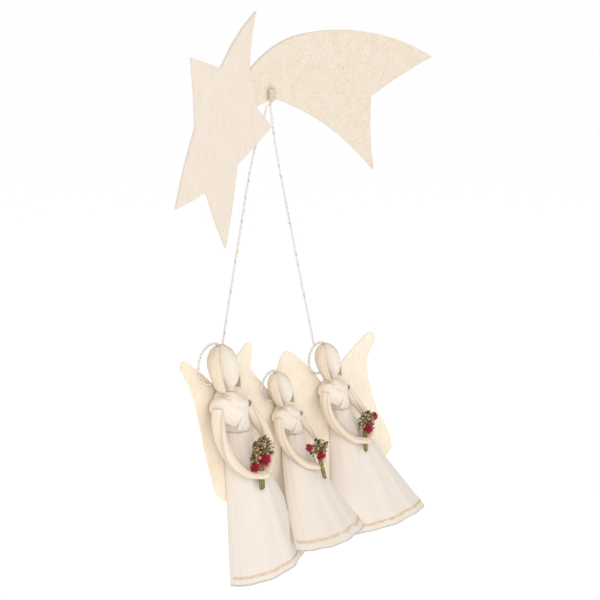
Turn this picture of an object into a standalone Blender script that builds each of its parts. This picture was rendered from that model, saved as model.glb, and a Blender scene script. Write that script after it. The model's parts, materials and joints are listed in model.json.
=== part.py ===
"""Corn husk wall hanging: a flat comet that carries three faceless husk angels on two cords.

The wall is the plane Y = 0, the front looks along -Y, and +Z is up. The origin is the mount: the
point of the comet's flat back where the hanging is fixed to the wall. All sizes are in metres.
"""

import math

import bmesh
import bpy
from mathutils import Matrix, Vector

MM = 0.001

# Driving dimensions of the comet, in metres.
FIT_GAP = 0.3 * MM
CORD_DIAMETER = 2.2 * MM
TAIL_THICKNESS = 2.2 * MM
STAR_THICKNESS = 2.2 * MM
STAR_BACK = TAIL_THICKNESS + FIT_GAP
KNOT_WRAPS = 5
KNOT_WIDTH = 6.4 * MM
KNOT_DEPTH = 4.2 * MM
KNOT_X = 8.0 * MM
KNOT_TOP = -14.5 * MM
TAIL_EDGE_AT_KNOT = -24.8 * MM
KNOT_HOOK = 2.6 * MM
CORD_DEPTH = 1.2 * MM
CORD_START_GAP = 0.7 * MM
CORD_END_GAP = 0.85 * MM

# Driving dimensions of the angels, in metres. Sizes named ANGEL_ are those of an angel of
# scale 1, and each angel takes its share of them.
WING_THICKNESS = 1.2 * MM
WING_LAYER = WING_THICKNESS + FIT_GAP
SKIRT_WALL = 1.4 * MM
SKIRT_FLUTES = 6
SKIRT_STEPS = 20
FLUTE_DEPTH = 0.6 * MM
BRAID_ABOVE_HEM = 5.0 * MM
BRAID_HEIGHT = 2.2 * MM
BRAID_THICKNESS = 0.6 * MM
BRAID_CLEARANCE = 0.5 * MM
HALO_WIRE = 0.9 * MM
HAIR_THICKNESS = 1.3 * MM
ANGEL_WAIST_HALF = 11.0 * MM
ANGEL_WAIST_DEPTH = 17.0 * MM
ANGEL_HALO_RADIUS = 16.0 * MM
ANGEL_HEAD_WIDTH = 23.5 * MM
ANGEL_HEAD_DEPTH = 22.0 * MM
ANGEL_UPPER_ARM = 5.6 * MM
ANGEL_WRIST = 3.1 * MM
ANGEL_STEM_RADIUS = 2.4 * MM
ANGEL_MAIN_ROSE = 5.4 * MM
ANGEL_SMALL_ROSE = 4.2 * MM

# Each angel's place. Its waist and hem are X and Z on the wall, its back is a distance from it.
# Wing corners are X, Z, the bow of the edge that follows and its steps, in millimetres.
ANGELS = {
    "left": {
        "scale": 1.0,
        "lean": 0.03,
        "reach": 0.0,
        "rest": 0.0,
        "stems_out": 0.0,
        "waist": (-42.2 * MM, -278.1 * MM),
        "back": 3 * WING_LAYER,
        "wing_front": 3 * WING_LAYER - FIT_GAP,
        "hem_centre": (3.2 * MM, -400.9 * MM),
        "hem_back": 3 * WING_LAYER,
        "hem_half": 48.0 * MM,
        "hem_depth": 26.0 * MM,
        "hem_slant": math.radians(10.0),
        "pressed": 0.52,
        "small_rose": (-3.6, 27.8, -26.0),
        "wings": [
            (-92, -214, -3, 3), (-101, -217, 3, 3), (-80, -262, -1, 2), (-62, -325, -3, 3), (-44, -339, 0, 1),
            (-5, -345, 0, 1), (20, -361, -4, 3), (34, -350, -5, 5), (5, -262, -3, 3), (-18, -244, 1, 2),
            (-16, -220, -3, 3), (-24, -214, -1, 2), (-58, -243, -1, 2),
        ],
    },
    "middle": {
        "scale": 0.75,
        "lean": 0.14,
        "reach": 2.0,
        "rest": 8.6,
        "stems_out": 8.4,
        "waist": (28.0 * MM, -297.5 * MM),
        "back": 3 * WING_LAYER,
        "wing_front": 2 * WING_LAYER - FIT_GAP,
        "hem_centre": (43.0 * MM, -383.0 * MM),
        "hem_back": 32.0 * MM,
        "hem_half": 38.5 * MM,
        "hem_depth": 22.0 * MM,
        "hem_slant": math.radians(5.0),
        "pressed": 0.0,
        "small_rose": (-12.5, 28.5, -9.0),
        "wings": [
            (-17, -236, -2, 2), (-25, -241, 2, 2), (-10, -266, 0, 1), (0, -318, -1, 2), (16, -338, 0, 1),
            (70, -352, -3, 2), (88, -358, -4, 2), (91, -350, -6, 5), (73, -269, -2, 3), (33, -233, -3, 3),
            (20, -236, 0, 1), (8, -262, 0, 1),
        ],
    },
    "right": {
        "scale": 0.8,
        "lean": 0.10,
        "reach": 10.0,
        "rest": 1.4,
        "stems_out": 0.0,
        "waist": (88.0 * MM, -291.0 * MM),
        "back": 2 * WING_LAYER,
        "wing_front": WING_LAYER - FIT_GAP,
        "hem_centre": (142.0 * MM, -401.5 * MM),
        "hem_back": 2 * WING_LAYER,
        "hem_half": 58.8 * MM,
        "hem_depth": 22.0 * MM,
        "hem_slant": math.radians(0.0),
        "pressed": 0.0,
        "small_rose": (16.0, 29.0, -11.0),
        "wings": [
            (38, -247, -1, 2), (31, -252, 1, 2), (42, -280, 0, 1), (60, -330, -1, 2), (75, -345, 0, 1),
            (150, -352, -2, 2), (167, -345, -2, 3), (148, -311, 3, 4), (131, -262, 1, 2), (143, -246, -3, 3),
            (133, -239, -2, 3), (75, -272, 0, 1),
        ],
    },
}

# Carving of an angel of scale 1, in millimetres from the middle of the waist's back:
# x, forward and up. A torso or head section is x, back, up, half width and depth.
TORSO = ((0.0, 0.0, 0.3, 11.0, 17.0), (-3.0, 0.0, 9.0, 11.6, 17.6), (-6.5, 0.3, 19.0, 12.4, 18.2),
         (-9.5, 1.0, 27.0, 11.0, 16.5), (-13.0, 3.0, 33.0, 7.5, 13.0), (-15.0, 5.0, 36.4, 4.8, 9.4))
NECK = (-15.2, 37.0)
CROWN = (-24.0, 75.0)
HEAD_PROFILE = ((0.0, 0.42), (0.07, 0.40), (0.17, 0.66), (0.33, 0.91), (0.52, 1.0), (0.72, 0.94),
                (0.88, 0.68), (0.97, 0.32), (1.0, 0.12))
NEAR_ARM = ((-24.5, 9.5, 23.0), (-27.0, 10.5, 12.0), (-24.0, 12.0, -5.0), (-16.0, 16.0, -21.0),
            (-4.5, 21.0, -32.0), (6.3, 23.3, -35.8))
FAR_ARM = ((7.0, 9.5, 19.0), (14.5, 11.5, 8.0), (21.5, 15.0, -4.0), (24.5, 19.0, -18.0),
           (20.5, 22.3, -31.5), (13.6, 23.2, -35.4))
NEAR_BAND = ((-13.0, 8.0, 32.5), (-21.0, 8.0, 30.5), (-25.0, 11.0, 29.0), (-20.0, 17.0, 24.0),
             (-9.0, 19.5, 14.0), (0.0, 17.0, 5.0))
FAR_BAND = ((-12.0, 8.0, 31.5), (-1.0, 8.0, 29.5), (6.0, 11.0, 25.5), (2.0, 17.0, 21.0),
            (-7.0, 19.5, 12.0), (-12.0, 15.5, 5.0))
BAND_HALF_WIDTH = 5.6
BAND_HALF_THICKNESS = 1.7
MAIN_ROSE = (7.0, 28.5, -22.0)
STEM_TOP = (8.2, 20.9, -13.0)
STEM_FOOT = (9.9, 23.3, -48.0)
FOLIAGE_CENTRE = (4.0, 22.6, -15.5)
FOLIAGE_RADII = (13.5, 3.0, 12.0)
LEAF_LENGTH = 17.0
LEAF_COUNT = 8

# The two cords. Each leaves the knot at a distance from its middle, turns at points of the form
# X, distance from the wall and Z in millimetres, and lands on a halo at an angle of its ring.
CORDS = {
    "cord_left": {
        "leaves": -1.7 * MM,
        "turns": ((-12.0, 1.2, -70.0), (-31.0, 1.9, -138.0)),
        "angel": "left",
        "lands": math.radians(46.4),
        "steps": 12,
    },
    "cord_right": {
        "leaves": 1.7 * MM,
        "turns": ((18.0, 1.2, -70.0), (37.0, 1.9, -143.0)),
        "angel": "right",
        "lands": math.radians(116.4),
        "steps": 13,
    },
}

COLOURS = {
    "husk": (0.89, 0.82, 0.72),
    "husk_shade": (0.84, 0.74, 0.60),
    "paper": (0.83, 0.72, 0.55),
    "silver": (0.78, 0.78, 0.76),
    "gold": (0.72, 0.50, 0.22),
    "rose": (0.55, 0.05, 0.09),
    "leaf": (0.16, 0.19, 0.05),
    "stem": (0.30, 0.28, 0.10),
}


def clear_scene():
    """Remove every object of the open file."""
    for item in list(bpy.data.objects):
        bpy.data.objects.remove(item, do_unlink=True)


def material(name, colour, roughness=0.6, metallic=0.0):
    """Return a plain Principled material of its own."""
    made = bpy.data.materials.new(name)
    made.use_nodes = True
    shader = made.node_tree.nodes["Principled BSDF"]
    shader.inputs["Base Color"].default_value = (*colour, 1.0)
    shader.inputs["Roughness"].default_value = roughness
    shader.inputs["Metallic"].default_value = metallic
    made.diffuse_color = (*colour, 1.0)
    return made


def finish(item, collection, colour, roughness=0.6, metallic=0.0, parent=None):
    """Link an object to the part's collection and give it its own material."""
    collection.objects.link(item)
    item.data.materials.append(material(item.name + "_finish", colour, roughness, metallic))
    if parent is not None:
        item.parent = parent
    return item


def mesh_object(name, shape):
    """Turn a bmesh into an object with outward normals."""
    bmesh.ops.recalc_face_normals(shape, faces=shape.faces)
    data = bpy.data.meshes.new(name)
    shape.to_mesh(data)
    shape.free()
    return bpy.data.objects.new(name, data)


def loft(name, rings):
    """Join rings of points into a closed solid with flat caps, each point to its own in the next."""
    shape = bmesh.new()
    loops = [[shape.verts.new(point) for point in ring] for ring in rings]
    count = len(loops[0])
    for low, high in zip(loops, loops[1:]):
        for i in range(count):
            after = (i + 1) % count
            shape.faces.new((low[i], low[after], high[after], high[i]))
    shape.faces.new(list(reversed(loops[0])))
    shape.faces.new(loops[-1])
    return mesh_object(name, shape)


def bowed(start, end, bow, steps):
    """Points from start up to, not including, end along an arc that bows to the left by bow."""
    a = Vector(start)
    b = Vector(end)
    along = b - a
    left = Vector((-along.y, along.x)).normalized()
    points = []
    for step in range(steps):
        t = step / steps
        points.append(a + along * t + left * bow * 4.0 * t * (1.0 - t))
    return points


def flat_outline(corners):
    """Join corners of the form (x, z, bow, steps) into one closed outline in millimetres."""
    points = []
    for here, there in zip(corners, corners[1:] + corners[:1]):
        points += bowed(here[:2], there[:2], here[2], here[3])
    return points


def sheet(name, outline, front, thickness):
    """A flat sheet parallel to the wall from a 2D curve, with its front at the given distance."""
    curve = bpy.data.curves.new(name, "CURVE")
    curve.dimensions = "2D"
    curve.fill_mode = "BOTH"
    curve.extrude = thickness / 2
    spline = curve.splines.new("POLY")
    spline.points.add(len(outline) - 1)
    for point, place in zip(spline.points, outline):
        point.co = (place.x, place.y, 0.0, 1.0)
    spline.use_cyclic_u = True
    item = bpy.data.objects.new(name, curve)
    item.rotation_euler = (math.radians(90.0), 0.0, 0.0)
    item.location = (0.0, -(front - thickness / 2), 0.0)
    return item


def tube(name, points, radii, bevel_resolution=1):
    """A round tube along a poly curve, with filled ends and one radius for each point."""
    curve = bpy.data.curves.new(name, "CURVE")
    curve.dimensions = "3D"
    curve.bevel_depth = 1.0
    curve.bevel_resolution = bevel_resolution
    curve.use_fill_caps = True
    spline = curve.splines.new("POLY")
    spline.points.add(len(points) - 1)
    for point, place, radius in zip(spline.points, points, radii):
        point.co = (*place, 1.0)
        point.radius = radius
    return bpy.data.objects.new(name, curve)


def smooth_path(points, steps):
    """A smooth curve through the points, read at even steps, with both ends kept."""
    path = [Vector(point) for point in points]
    path = [path[0] * 2 - path[1]] + path + [path[-1] * 2 - path[-2]]
    out = []
    for i in range(1, len(path) - 2):
        a, b, c, d = path[i - 1:i + 3]
        for step in range(steps):
            t = step / steps
            out.append(0.5 * (2 * b + (c - a) * t + (2 * a - 5 * b + 4 * c - d) * t * t
                              + (3 * b - a - 3 * c + d) * t ** 3))
    out.append(path[-2])
    return out


def in_mm(points):
    """Scale outline points from millimetres to metres."""
    return [point * MM for point in points]


def build_star(collection):
    """The five-pointed star, laid over the root of the tail."""
    corners = [
        (-10.0, 48.0, -2.0, 3), (-18.0, 3.0, 0.5, 2), (-11.0, -26.0, 0.0, 1), (8.0, -45.0, 0.5, 2),
        (-33.0, -69.0, 1.0, 2), (-47.0, -132.0, 1.0, 2), (-69.0, -84.0, 0.5, 2), (-104.0, -91.0, 1.5, 2),
        (-81.0, -32.0, -1.0, 2), (-85.0, 23.0, 0.0, 1), (-51.0, 10.0, 3.0, 3),
    ]
    outline = in_mm(flat_outline(corners))
    item = sheet("comet_star", outline, STAR_BACK + STAR_THICKNESS, STAR_THICKNESS)
    return finish(item, collection, COLOURS["husk"])


def build_tail(collection):
    """The swallow-tailed comet tail, whose flat back carries the mount."""
    corners = [
        (-44.0, -6.0, 0.0, 1), (-16.0, 2.0, 5.5, 6), (50.0, 22.0, 10.5, 12), (214.0, -20.0, -1.5, 3),
        (134.0, -41.0, -2.5, 3), (138.0, -102.0, -8.0, 8), (11.0, -23.0, 1.0, 2), (-8.0, -27.0, 0.0, 1),
        (-44.0, -24.0, 0.0, 1),
    ]
    outline = in_mm(flat_outline(corners))
    item = sheet("comet_tail", outline, TAIL_THICKNESS, TAIL_THICKNESS)
    return finish(item, collection, COLOURS["paper"])


def build_knot(collection):
    """The wrapped knot on the tail's front, whose foot hooks under the edge and lets the cords out."""
    sides = 8
    rows = 2 * KNOT_WRAPS + 1
    front = TAIL_THICKNESS + FIT_GAP + KNOT_DEPTH / 2
    hook_top = TAIL_EDGE_AT_KNOT - FIT_GAP
    heights = [KNOT_TOP + (hook_top - KNOT_TOP) * row / (rows - 1) for row in range(rows)]
    stations = []
    for row, height in enumerate(heights):
        stations.append((height, front, KNOT_DEPTH / 2, 1.0 if row % 2 else 0.84))
    deep = (front + KNOT_DEPTH / 2 - FIT_GAP) / 2
    stations.append((hook_top - 0.3 * MM, deep + FIT_GAP, deep, 0.96))
    stations.append((hook_top - KNOT_HOOK, deep + FIT_GAP, deep * 0.9, 0.9))
    rings = []
    for height, middle, half_depth, swell in stations:
        ring = []
        for side in range(sides):
            turn = math.tau * side / sides
            x = KNOT_X + KNOT_WIDTH / 2 * swell * math.cos(turn)
            ring.append((x, -middle + half_depth * swell * math.sin(turn), height))
        rings.append(ring)
    item = loft("cord_knot", rings)
    return finish(item, collection, COLOURS["gold"])


class Figure:
    """Places the carving of an angel of scale 1 in an angel's own size, lean and reach."""

    def __init__(self, name, values):
        self.name = name
        self.values = values
        self.scale = values["scale"]

    def point(self, x, forward, up, share=0.0):
        """A carved point in metres; share is how far it follows the hands' reach and rest."""
        x = x - self.values["lean"] * max(up, 0.0) + self.values["reach"] * share
        forward = forward + self.values["rest"] * share
        return Vector((x, -forward, up)) * self.scale * MM

    def waist_half(self):
        return ANGEL_WAIST_HALF * self.scale

    def waist_depth(self):
        return ANGEL_WAIST_DEPTH * self.scale


def section(centre, half, depth, back, height, slant, flute, phase, steps, pressed=0.0):
    """A flat-backed ring: a fluted half ellipse in front, pressed flatter on the right."""
    points = []
    for step in range(steps + 1):
        turn = math.pi * step / steps
        ripple = flute * math.cos(2 * SKIRT_FLUTES * turn + phase) * math.sin(turn)
        x = (half + ripple) * math.cos(turn)
        flat = 1.0 - pressed * max(math.cos(turn), 0.0)
        forward = back + (depth + ripple) * math.sin(turn) ** 0.9 * flat
        points.append((x, forward))
    ring = []
    for x, forward in points:
        ring.append((centre + x * math.cos(slant), -forward, height + x * math.sin(slant)))
    return ring


def skirt_values(figure, share):
    """Middle, half width, depth, back, height and slant of the skirt; share 0 is the hem."""
    v = figure.values
    hem_x = v["hem_centre"][0] - v["waist"][0]
    hem_z = v["hem_centre"][1] - v["waist"][1]
    hem_back = v["hem_back"] - v["back"]
    open_share = 1.0 - share
    centre = hem_x * open_share
    half = figure.waist_half() + (v["hem_half"] - figure.waist_half()) * open_share ** 1.08
    depth = figure.waist_depth() + (v["hem_depth"] - figure.waist_depth()) * open_share
    return centre, half, depth, hem_back * open_share ** 1.7, hem_z * open_share, v["hem_slant"] * open_share


def skirt_ring(figure, share, inset, steps=SKIRT_STEPS):
    """A ring of the skirt, moved inwards by inset, or outwards where that is below zero."""
    centre, half, depth, back, height, slant = skirt_values(figure, share)
    flute = FLUTE_DEPTH * (1.0 - 0.7 * share)
    pressed = figure.values["pressed"] * (1.0 - share)
    return section(centre, half - inset, depth - 2 * inset, back + inset, height, slant, flute, 0.4,
                   steps, pressed)


def build_skirt(figure, collection, parent):
    """The hollow skirt: true husk walls, closed at the waist and open at the hem."""
    rows = (0.0, 0.16, 0.42, 0.7, 0.9, 1.0)
    rings = [skirt_ring(figure, share * 0.985, SKIRT_WALL) for share in reversed(rows)]
    rings += [skirt_ring(figure, share, 0.0) for share in rows]
    item = loft(figure.name + "_skirt", rings)
    return finish(item, collection, COLOURS["husk"], parent=parent)


def build_braid(figure, collection, parent):
    """The thin braid sewn round the front of the skirt, just above its hem."""
    v = figure.values
    drop = v["waist"][1] - v["hem_centre"][1]
    low = BRAID_ABOVE_HEM / drop
    high = (BRAID_ABOVE_HEM + BRAID_HEIGHT) / drop
    front = range(1, SKIRT_STEPS)
    near = [skirt_ring(figure, share, -BRAID_CLEARANCE) for share in (low, high)]
    far = [skirt_ring(figure, share, -BRAID_CLEARANCE - BRAID_THICKNESS) for share in (low, high)]
    rings = [[near[0][i], far[0][i], far[1][i], near[1][i]] for i in front]
    item = loft(figure.name + "_hem_braid", rings)
    return finish(item, collection, COLOURS["gold"], 0.4, 0.3, parent)


def band(name, figure, path):
    """A flattened husk band along a path over the shoulder, for the bodice's union."""
    points = smooth_path([figure.point(*place) for place in path], 1)
    middle = figure.point(-7.0, 9.0, 18.0)
    rings = []
    sides = 6
    for i, here in enumerate(points):
        before = points[max(i - 1, 0)]
        after = points[min(i + 1, len(points) - 1)]
        along = (after - before).normalized()
        out = here - middle
        out = (out - along * out.dot(along)).normalized()
        across = along.cross(out)
        ring = []
        for side in range(sides):
            turn = math.tau * side / sides
            flat = across * math.cos(turn) * BAND_HALF_WIDTH + out * math.sin(turn) * BAND_HALF_THICKNESS
            ring.append(here + flat * figure.scale * MM)
        rings.append(ring)
    return loft(name, rings)


def link_cutter(item, cutters):
    """Link a cutter as a hidden wire, ready for its boolean."""
    cutters.objects.link(item)
    item.hide_render = True
    item.display_type = "WIRE"
    bpy.context.view_layer.update()


def boolean(item, other, operation):
    """Apply an exact boolean of other to item, and remove other."""
    modifier = item.modifiers.new(operation.lower(), "BOOLEAN")
    modifier.operation = operation
    modifier.solver = "EXACT"
    modifier.object = other
    graph = bpy.context.evaluated_depsgraph_get()
    shape = bpy.data.meshes.new_from_object(item.evaluated_get(graph))
    item.modifiers.clear()
    old = item.data
    item.data = shape
    bpy.data.meshes.remove(old)
    bpy.data.objects.remove(other, do_unlink=True)


def build_bodice(figure, collection, cutters, parent):
    """The torso with its two crossed shoulder bands, bound into one piece at the waist."""
    rings = []
    for x, back, up, half, depth in TORSO:
        centre = figure.point(x, 0.0, up)
        ring = section(centre.x, half * figure.scale * MM, depth * figure.scale * MM,
                       back * figure.scale * MM, centre.z, 0.0, 0.0, 0.0, 12)
        rings.append(ring)
    item = loft(figure.name + "_bodice", rings)
    collection.objects.link(item)
    for label, path in (("near", NEAR_BAND), ("far", FAR_BAND)):
        cutter = band(figure.name + "_band_" + label, figure, path)
        link_cutter(cutter, cutters)
        boolean(item, cutter, "UNION")
    for path in (NEAR_ARM, FAR_ARM):
        cutter = sleeve_seat(figure, path)
        link_cutter(cutter, cutters)
        boolean(item, cutter, "DIFFERENCE")
    collection.objects.unlink(item)
    return finish(item, collection, COLOURS["husk"], parent=parent)


def head_frame(figure, share):
    """Centre and half sizes of the head at a share of its height above the neck."""
    s = figure.scale
    low = figure.point(NECK[0], 0.0, NECK[1])
    high = figure.point(CROWN[0], 0.0, CROWN[1])
    spot = low.lerp(high, share)
    back = FIT_GAP + HAIR_THICKNESS + FIT_GAP
    forward = back + ANGEL_HEAD_DEPTH * s / 2
    return spot, forward, ANGEL_HEAD_WIDTH * s / 2, ANGEL_HEAD_DEPTH * s / 2


def profile_at(share):
    """Read the head's profile at a share of its height."""
    for (low, a), (high, b) in zip(HEAD_PROFILE, HEAD_PROFILE[1:]):
        if share <= high:
            return a + (b - a) * (share - low) / (high - low)
    return HEAD_PROFILE[-1][1]


def build_head(figure, collection, parent):
    """The plain egg of husk, pleated from crown to neck, with no face."""
    rings = []
    sides = 12
    for share, size in HEAD_PROFILE:
        spot, forward, half_x, half_y = head_frame(figure, share)
        ring = []
        for side in range(sides):
            turn = math.tau * side / sides
            pleat = 1.0 - 0.02 * (side % 2)
            x = spot.x + half_x * size * pleat * math.cos(turn)
            y = -forward - half_y * size * pleat * math.sin(turn)
            ring.append((x, y, spot.z + FIT_GAP))
        rings.append(ring)
    item = loft(figure.name + "_head", rings)
    return finish(item, collection, COLOURS["husk"], parent=parent)


def build_hair(figure, collection, parent):
    """The husk strands that lie over the back and sides of the head and fall to the shoulders."""
    rings = []
    steps = 9
    spread = math.radians(104.0)
    chord = math.cos(spread / (steps - 1))
    for share in (0.0, 0.17, 0.33, 0.52, 0.72, 0.88, 0.95):
        spot, forward, half_x, half_y = head_frame(figure, share)
        size = max(profile_at(share), 0.74 + 0.5 * min(share, 0.34)) if share < 0.5 else profile_at(share)
        outer = []
        inner = []
        for step in range(steps):
            turn = -math.pi / 2 - spread + 2 * spread * step / (steps - 1)
            strand = 0.18 * MM * (step % 2)
            for side, offset in ((inner, FIT_GAP), (outer, FIT_GAP + HAIR_THICKNESS - strand)):
                x = spot.x + (half_x * size / chord + offset) * math.cos(turn)
                y = -forward - (half_y * size / chord + offset) * math.sin(turn)
                side.append((x, y, spot.z + FIT_GAP))
        rings.append(outer + list(reversed(inner)))
    item = loft(figure.name + "_hair", rings)
    return finish(item, collection, COLOURS["husk_shade"], parent=parent)


def halo_centre(figure):
    """The halo's middle, behind the head, with its wire just in front of the wings."""
    spot = head_frame(figure, 0.52)[0]
    return Vector((spot.x - 1.5 * MM * figure.scale, -HALO_WIRE, spot.z + 0.5 * MM))


def build_halo(figure, collection, parent):
    """The ring of twisted silver cord behind the head."""
    bpy.ops.mesh.primitive_torus_add(major_segments=18, minor_segments=5,
                                     major_radius=ANGEL_HALO_RADIUS * figure.scale, minor_radius=HALO_WIRE)
    item = bpy.context.active_object
    item.name = figure.name + "_halo"
    for holder in list(item.users_collection):
        holder.objects.unlink(item)
    item.rotation_euler = (math.radians(90.0), 0.0, 0.0)
    item.location = halo_centre(figure)
    return finish(item, collection, COLOURS["silver"], 0.35, 0.4, parent)


def sleeve_route(figure, path):
    """Points along a sleeve and its radius at each."""
    shares = (0.0, 0.0, 0.14, 0.60, 0.86, 1.0)
    carved = [figure.point(*place, share) for place, share in zip(path, shares)]
    points = smooth_path(carved, 2)
    last = len(points) - 1
    radii = []
    for i in range(len(points)):
        size = ANGEL_UPPER_ARM + (ANGEL_WRIST - ANGEL_UPPER_ARM) * (i / last) ** 0.8
        radii.append(size * figure.scale)
    return points, radii


def sleeve_seat(figure, path):
    """A mesh cutter that leaves the fit gap between the bodice and a sleeve."""
    points, radii = sleeve_route(figure, path)
    points[0] = points[0] + (points[0] - points[1]).normalized() * FIT_GAP
    route = tube(figure.name + "_sleeve_route", points, [radius + FIT_GAP for radius in radii])
    shape = bpy.data.meshes.new_from_object(route)
    bpy.data.objects.remove(route, do_unlink=True)
    return bpy.data.objects.new(figure.name + "_sleeve_seat", shape)


def build_arm(figure, label, path, collection, parent):
    """A husk sleeve that tapers from the shoulder band to the hand at the stems."""
    points, radii = sleeve_route(figure, path)
    item = tube(figure.name + "_" + label, points, radii)
    return finish(item, collection, COLOURS["husk"], parent=parent)


def ball(name, centre, radii, segments=10, rings=7):
    """A UV sphere scaled to an ellipsoid, from the primitive."""
    shape = bmesh.new()
    bmesh.ops.create_uvsphere(shape, u_segments=segments, v_segments=rings, radius=1.0)
    for corner in shape.verts:
        corner.co = Vector((corner.co.x * radii[0], corner.co.y * radii[1], corner.co.z * radii[2])) + centre
    return mesh_object(name, shape)


def rose_places(figure):
    """Centres and radii of the two dried roses, main one first."""
    main = figure.point(*MAIN_ROSE, 1.0)
    small = figure.point(*figure.values["small_rose"], 1.0)
    return ((main, ANGEL_MAIN_ROSE * figure.scale), (small, ANGEL_SMALL_ROSE * figure.scale))


def build_roses(figure, collection, parent):
    """Two dried rose buds, with petals as a spiral swell on a ball."""
    for label, (centre, radius) in zip(("rose_main", "rose_small"), rose_places(figure)):
        shape = bmesh.new()
        bmesh.ops.create_uvsphere(shape, u_segments=8, v_segments=6, radius=radius)
        for corner in shape.verts:
            turn = math.atan2(corner.co.z, corner.co.x)
            swirl = 1.0 + 0.07 * math.sin(3 * turn + 5.0 * corner.co.y / radius)
            corner.co = Vector((corner.co.x * swirl, corner.co.y, corner.co.z * swirl)) + centre
        item = mesh_object(figure.name + "_" + label, shape)
        finish(item, collection, COLOURS["rose"], parent=parent)


def build_greenery(figure, collection, cutters, parent):
    """The bound stems, leaves and fillers of the bouquet, with a seat for each rose."""
    s = figure.scale * MM
    centre = figure.point(*FOLIAGE_CENTRE, 1.0)
    item = ball(figure.name + "_greenery", centre, [radius * s for radius in FOLIAGE_RADII], 10, 6)
    collection.objects.link(item)
    foot = figure.point(*STEM_FOOT, 1.0) - Vector((0.0, figure.values["stems_out"] * s, 0.0))
    top = figure.point(*STEM_TOP, 1.0)
    pieces = [rod(figure.name + "_stems", foot, top, ANGEL_STEM_RADIUS * figure.scale,
                  ANGEL_STEM_RADIUS * figure.scale * 0.8, 8)]
    for leaf in range(LEAF_COUNT):
        turn = math.radians(-15.0 + 210.0 * leaf / (LEAF_COUNT - 1))
        length = LEAF_LENGTH * (1.0 if leaf % 2 else 0.86) * s
        away = Vector((math.cos(turn), -0.16, math.sin(turn) * 0.92))
        root = centre + away * 0.22 * length + Vector((0.0, 1.2 * s, 0.0))
        tip = centre + away * length
        pieces.append(rod(figure.name + "_leaf", root, tip, 2.6 * s, 0.7 * s, 3))
    for piece in pieces:
        link_cutter(piece, cutters)
        boolean(item, piece, "UNION")
    for rose, radius in rose_places(figure):
        seat = radius * 1.07 + FIT_GAP
        cutter = ball(figure.name + "_seat", rose, (seat, seat, seat), 8, 5)
        link_cutter(cutter, cutters)
        boolean(item, cutter, "DIFFERENCE")
    collection.objects.unlink(item)
    return finish(item, collection, COLOURS["leaf"], parent=parent)


def rod(name, start, end, start_radius, end_radius, sides):
    """A tapered rod from start to end, from the cone primitive."""
    along = end - start
    shape = bmesh.new()
    bmesh.ops.create_cone(shape, cap_ends=True, segments=sides, radius1=start_radius,
                          radius2=end_radius, depth=along.length)
    turn = Vector((0.0, 0.0, 1.0)).rotation_difference(along.normalized()).to_matrix().to_4x4()
    shape.transform(Matrix.Translation((start + end) / 2) @ turn)
    return mesh_object(name, shape)


def build_wings(figure, collection):
    """The pair of wings, cut from one flat sheet of glued husk."""
    v = figure.values
    outline = in_mm(flat_outline(v["wings"]))
    item = sheet(figure.name + "_wings", outline, v["wing_front"], WING_THICKNESS)
    return finish(item, collection, COLOURS["paper"])


def build_angel(name, values, collection, cutters):
    """One angel, with its pieces parented to an empty at the middle of its waist's back."""
    figure = Figure(name + "_angel", values)
    parent = bpy.data.objects.new(figure.name, None)
    parent.location = (values["waist"][0], -values["back"], values["waist"][1])
    collection.objects.link(parent)
    build_wings(figure, collection)
    build_skirt(figure, collection, parent)
    build_braid(figure, collection, parent)
    build_bodice(figure, collection, cutters, parent)
    build_head(figure, collection, parent)
    build_hair(figure, collection, parent)
    build_halo(figure, collection, parent)
    build_arm(figure, "near_arm", NEAR_ARM, collection, parent)
    build_arm(figure, "far_arm", FAR_ARM, collection, parent)
    build_roses(figure, collection, parent)
    build_greenery(figure, collection, cutters, parent)


def cord_path(values):
    """Points from the knot's foot to the outside of the halo that the cord carries."""
    angel = ANGELS[values["angel"]]
    figure = Figure(values["angel"], angel)
    waist = Vector((angel["waist"][0], -angel["back"], angel["waist"][1]))
    turn = Vector((math.cos(values["lands"]), 0.0, math.sin(values["lands"])))
    reach = ANGEL_HALO_RADIUS * figure.scale + HALO_WIRE + CORD_END_GAP
    foot = TAIL_EDGE_AT_KNOT - FIT_GAP - KNOT_HOOK - CORD_START_GAP
    start = Vector((KNOT_X + values["leaves"], -CORD_DEPTH, foot))
    turns = [Vector((x, -distance, z)) * MM for x, distance, z in values["turns"]]
    return smooth_path([start] + turns + [waist + halo_centre(figure) + turn * reach], values["steps"])


def build_cords(collection):
    """The two free cords, each a plain tube read from a smooth curve."""
    for name, values in CORDS.items():
        points = cord_path(values)
        item = tube(name, points, [CORD_DIAMETER / 2] * len(points), bevel_resolution=2)
        finish(item, collection, COLOURS["silver"])


def main():
    clear_scene()
    scene = bpy.context.scene
    collection = bpy.data.collections.new("angel_wall_hanging")
    cutters = bpy.data.collections.new("cutters")
    scene.collection.children.link(collection)
    scene.collection.children.link(cutters)
    build_star(collection)
    build_tail(collection)
    build_knot(collection)
    build_cords(collection)
    for name, values in ANGELS.items():
        build_angel(name, values, collection, cutters)


main()
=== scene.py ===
"""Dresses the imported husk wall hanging: a flat comet that carries three faceless husk angels.

The wall is the plane Y = 0, the front looks along -Y and +Z is up, as in the solids. An angel's
sizes are in millimetres. Those of its upper body are for an angel of scale 1, from the middle of
its waist's back, and each angel takes its share of them. Its waist, hem, wall, wire, hair and gap
are real sizes. Every other size is in metres, unless a comment says otherwise.
"""

import json
import logging
import math
import random
from dataclasses import dataclass, field
from enum import Enum
from typing import Callable

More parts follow.
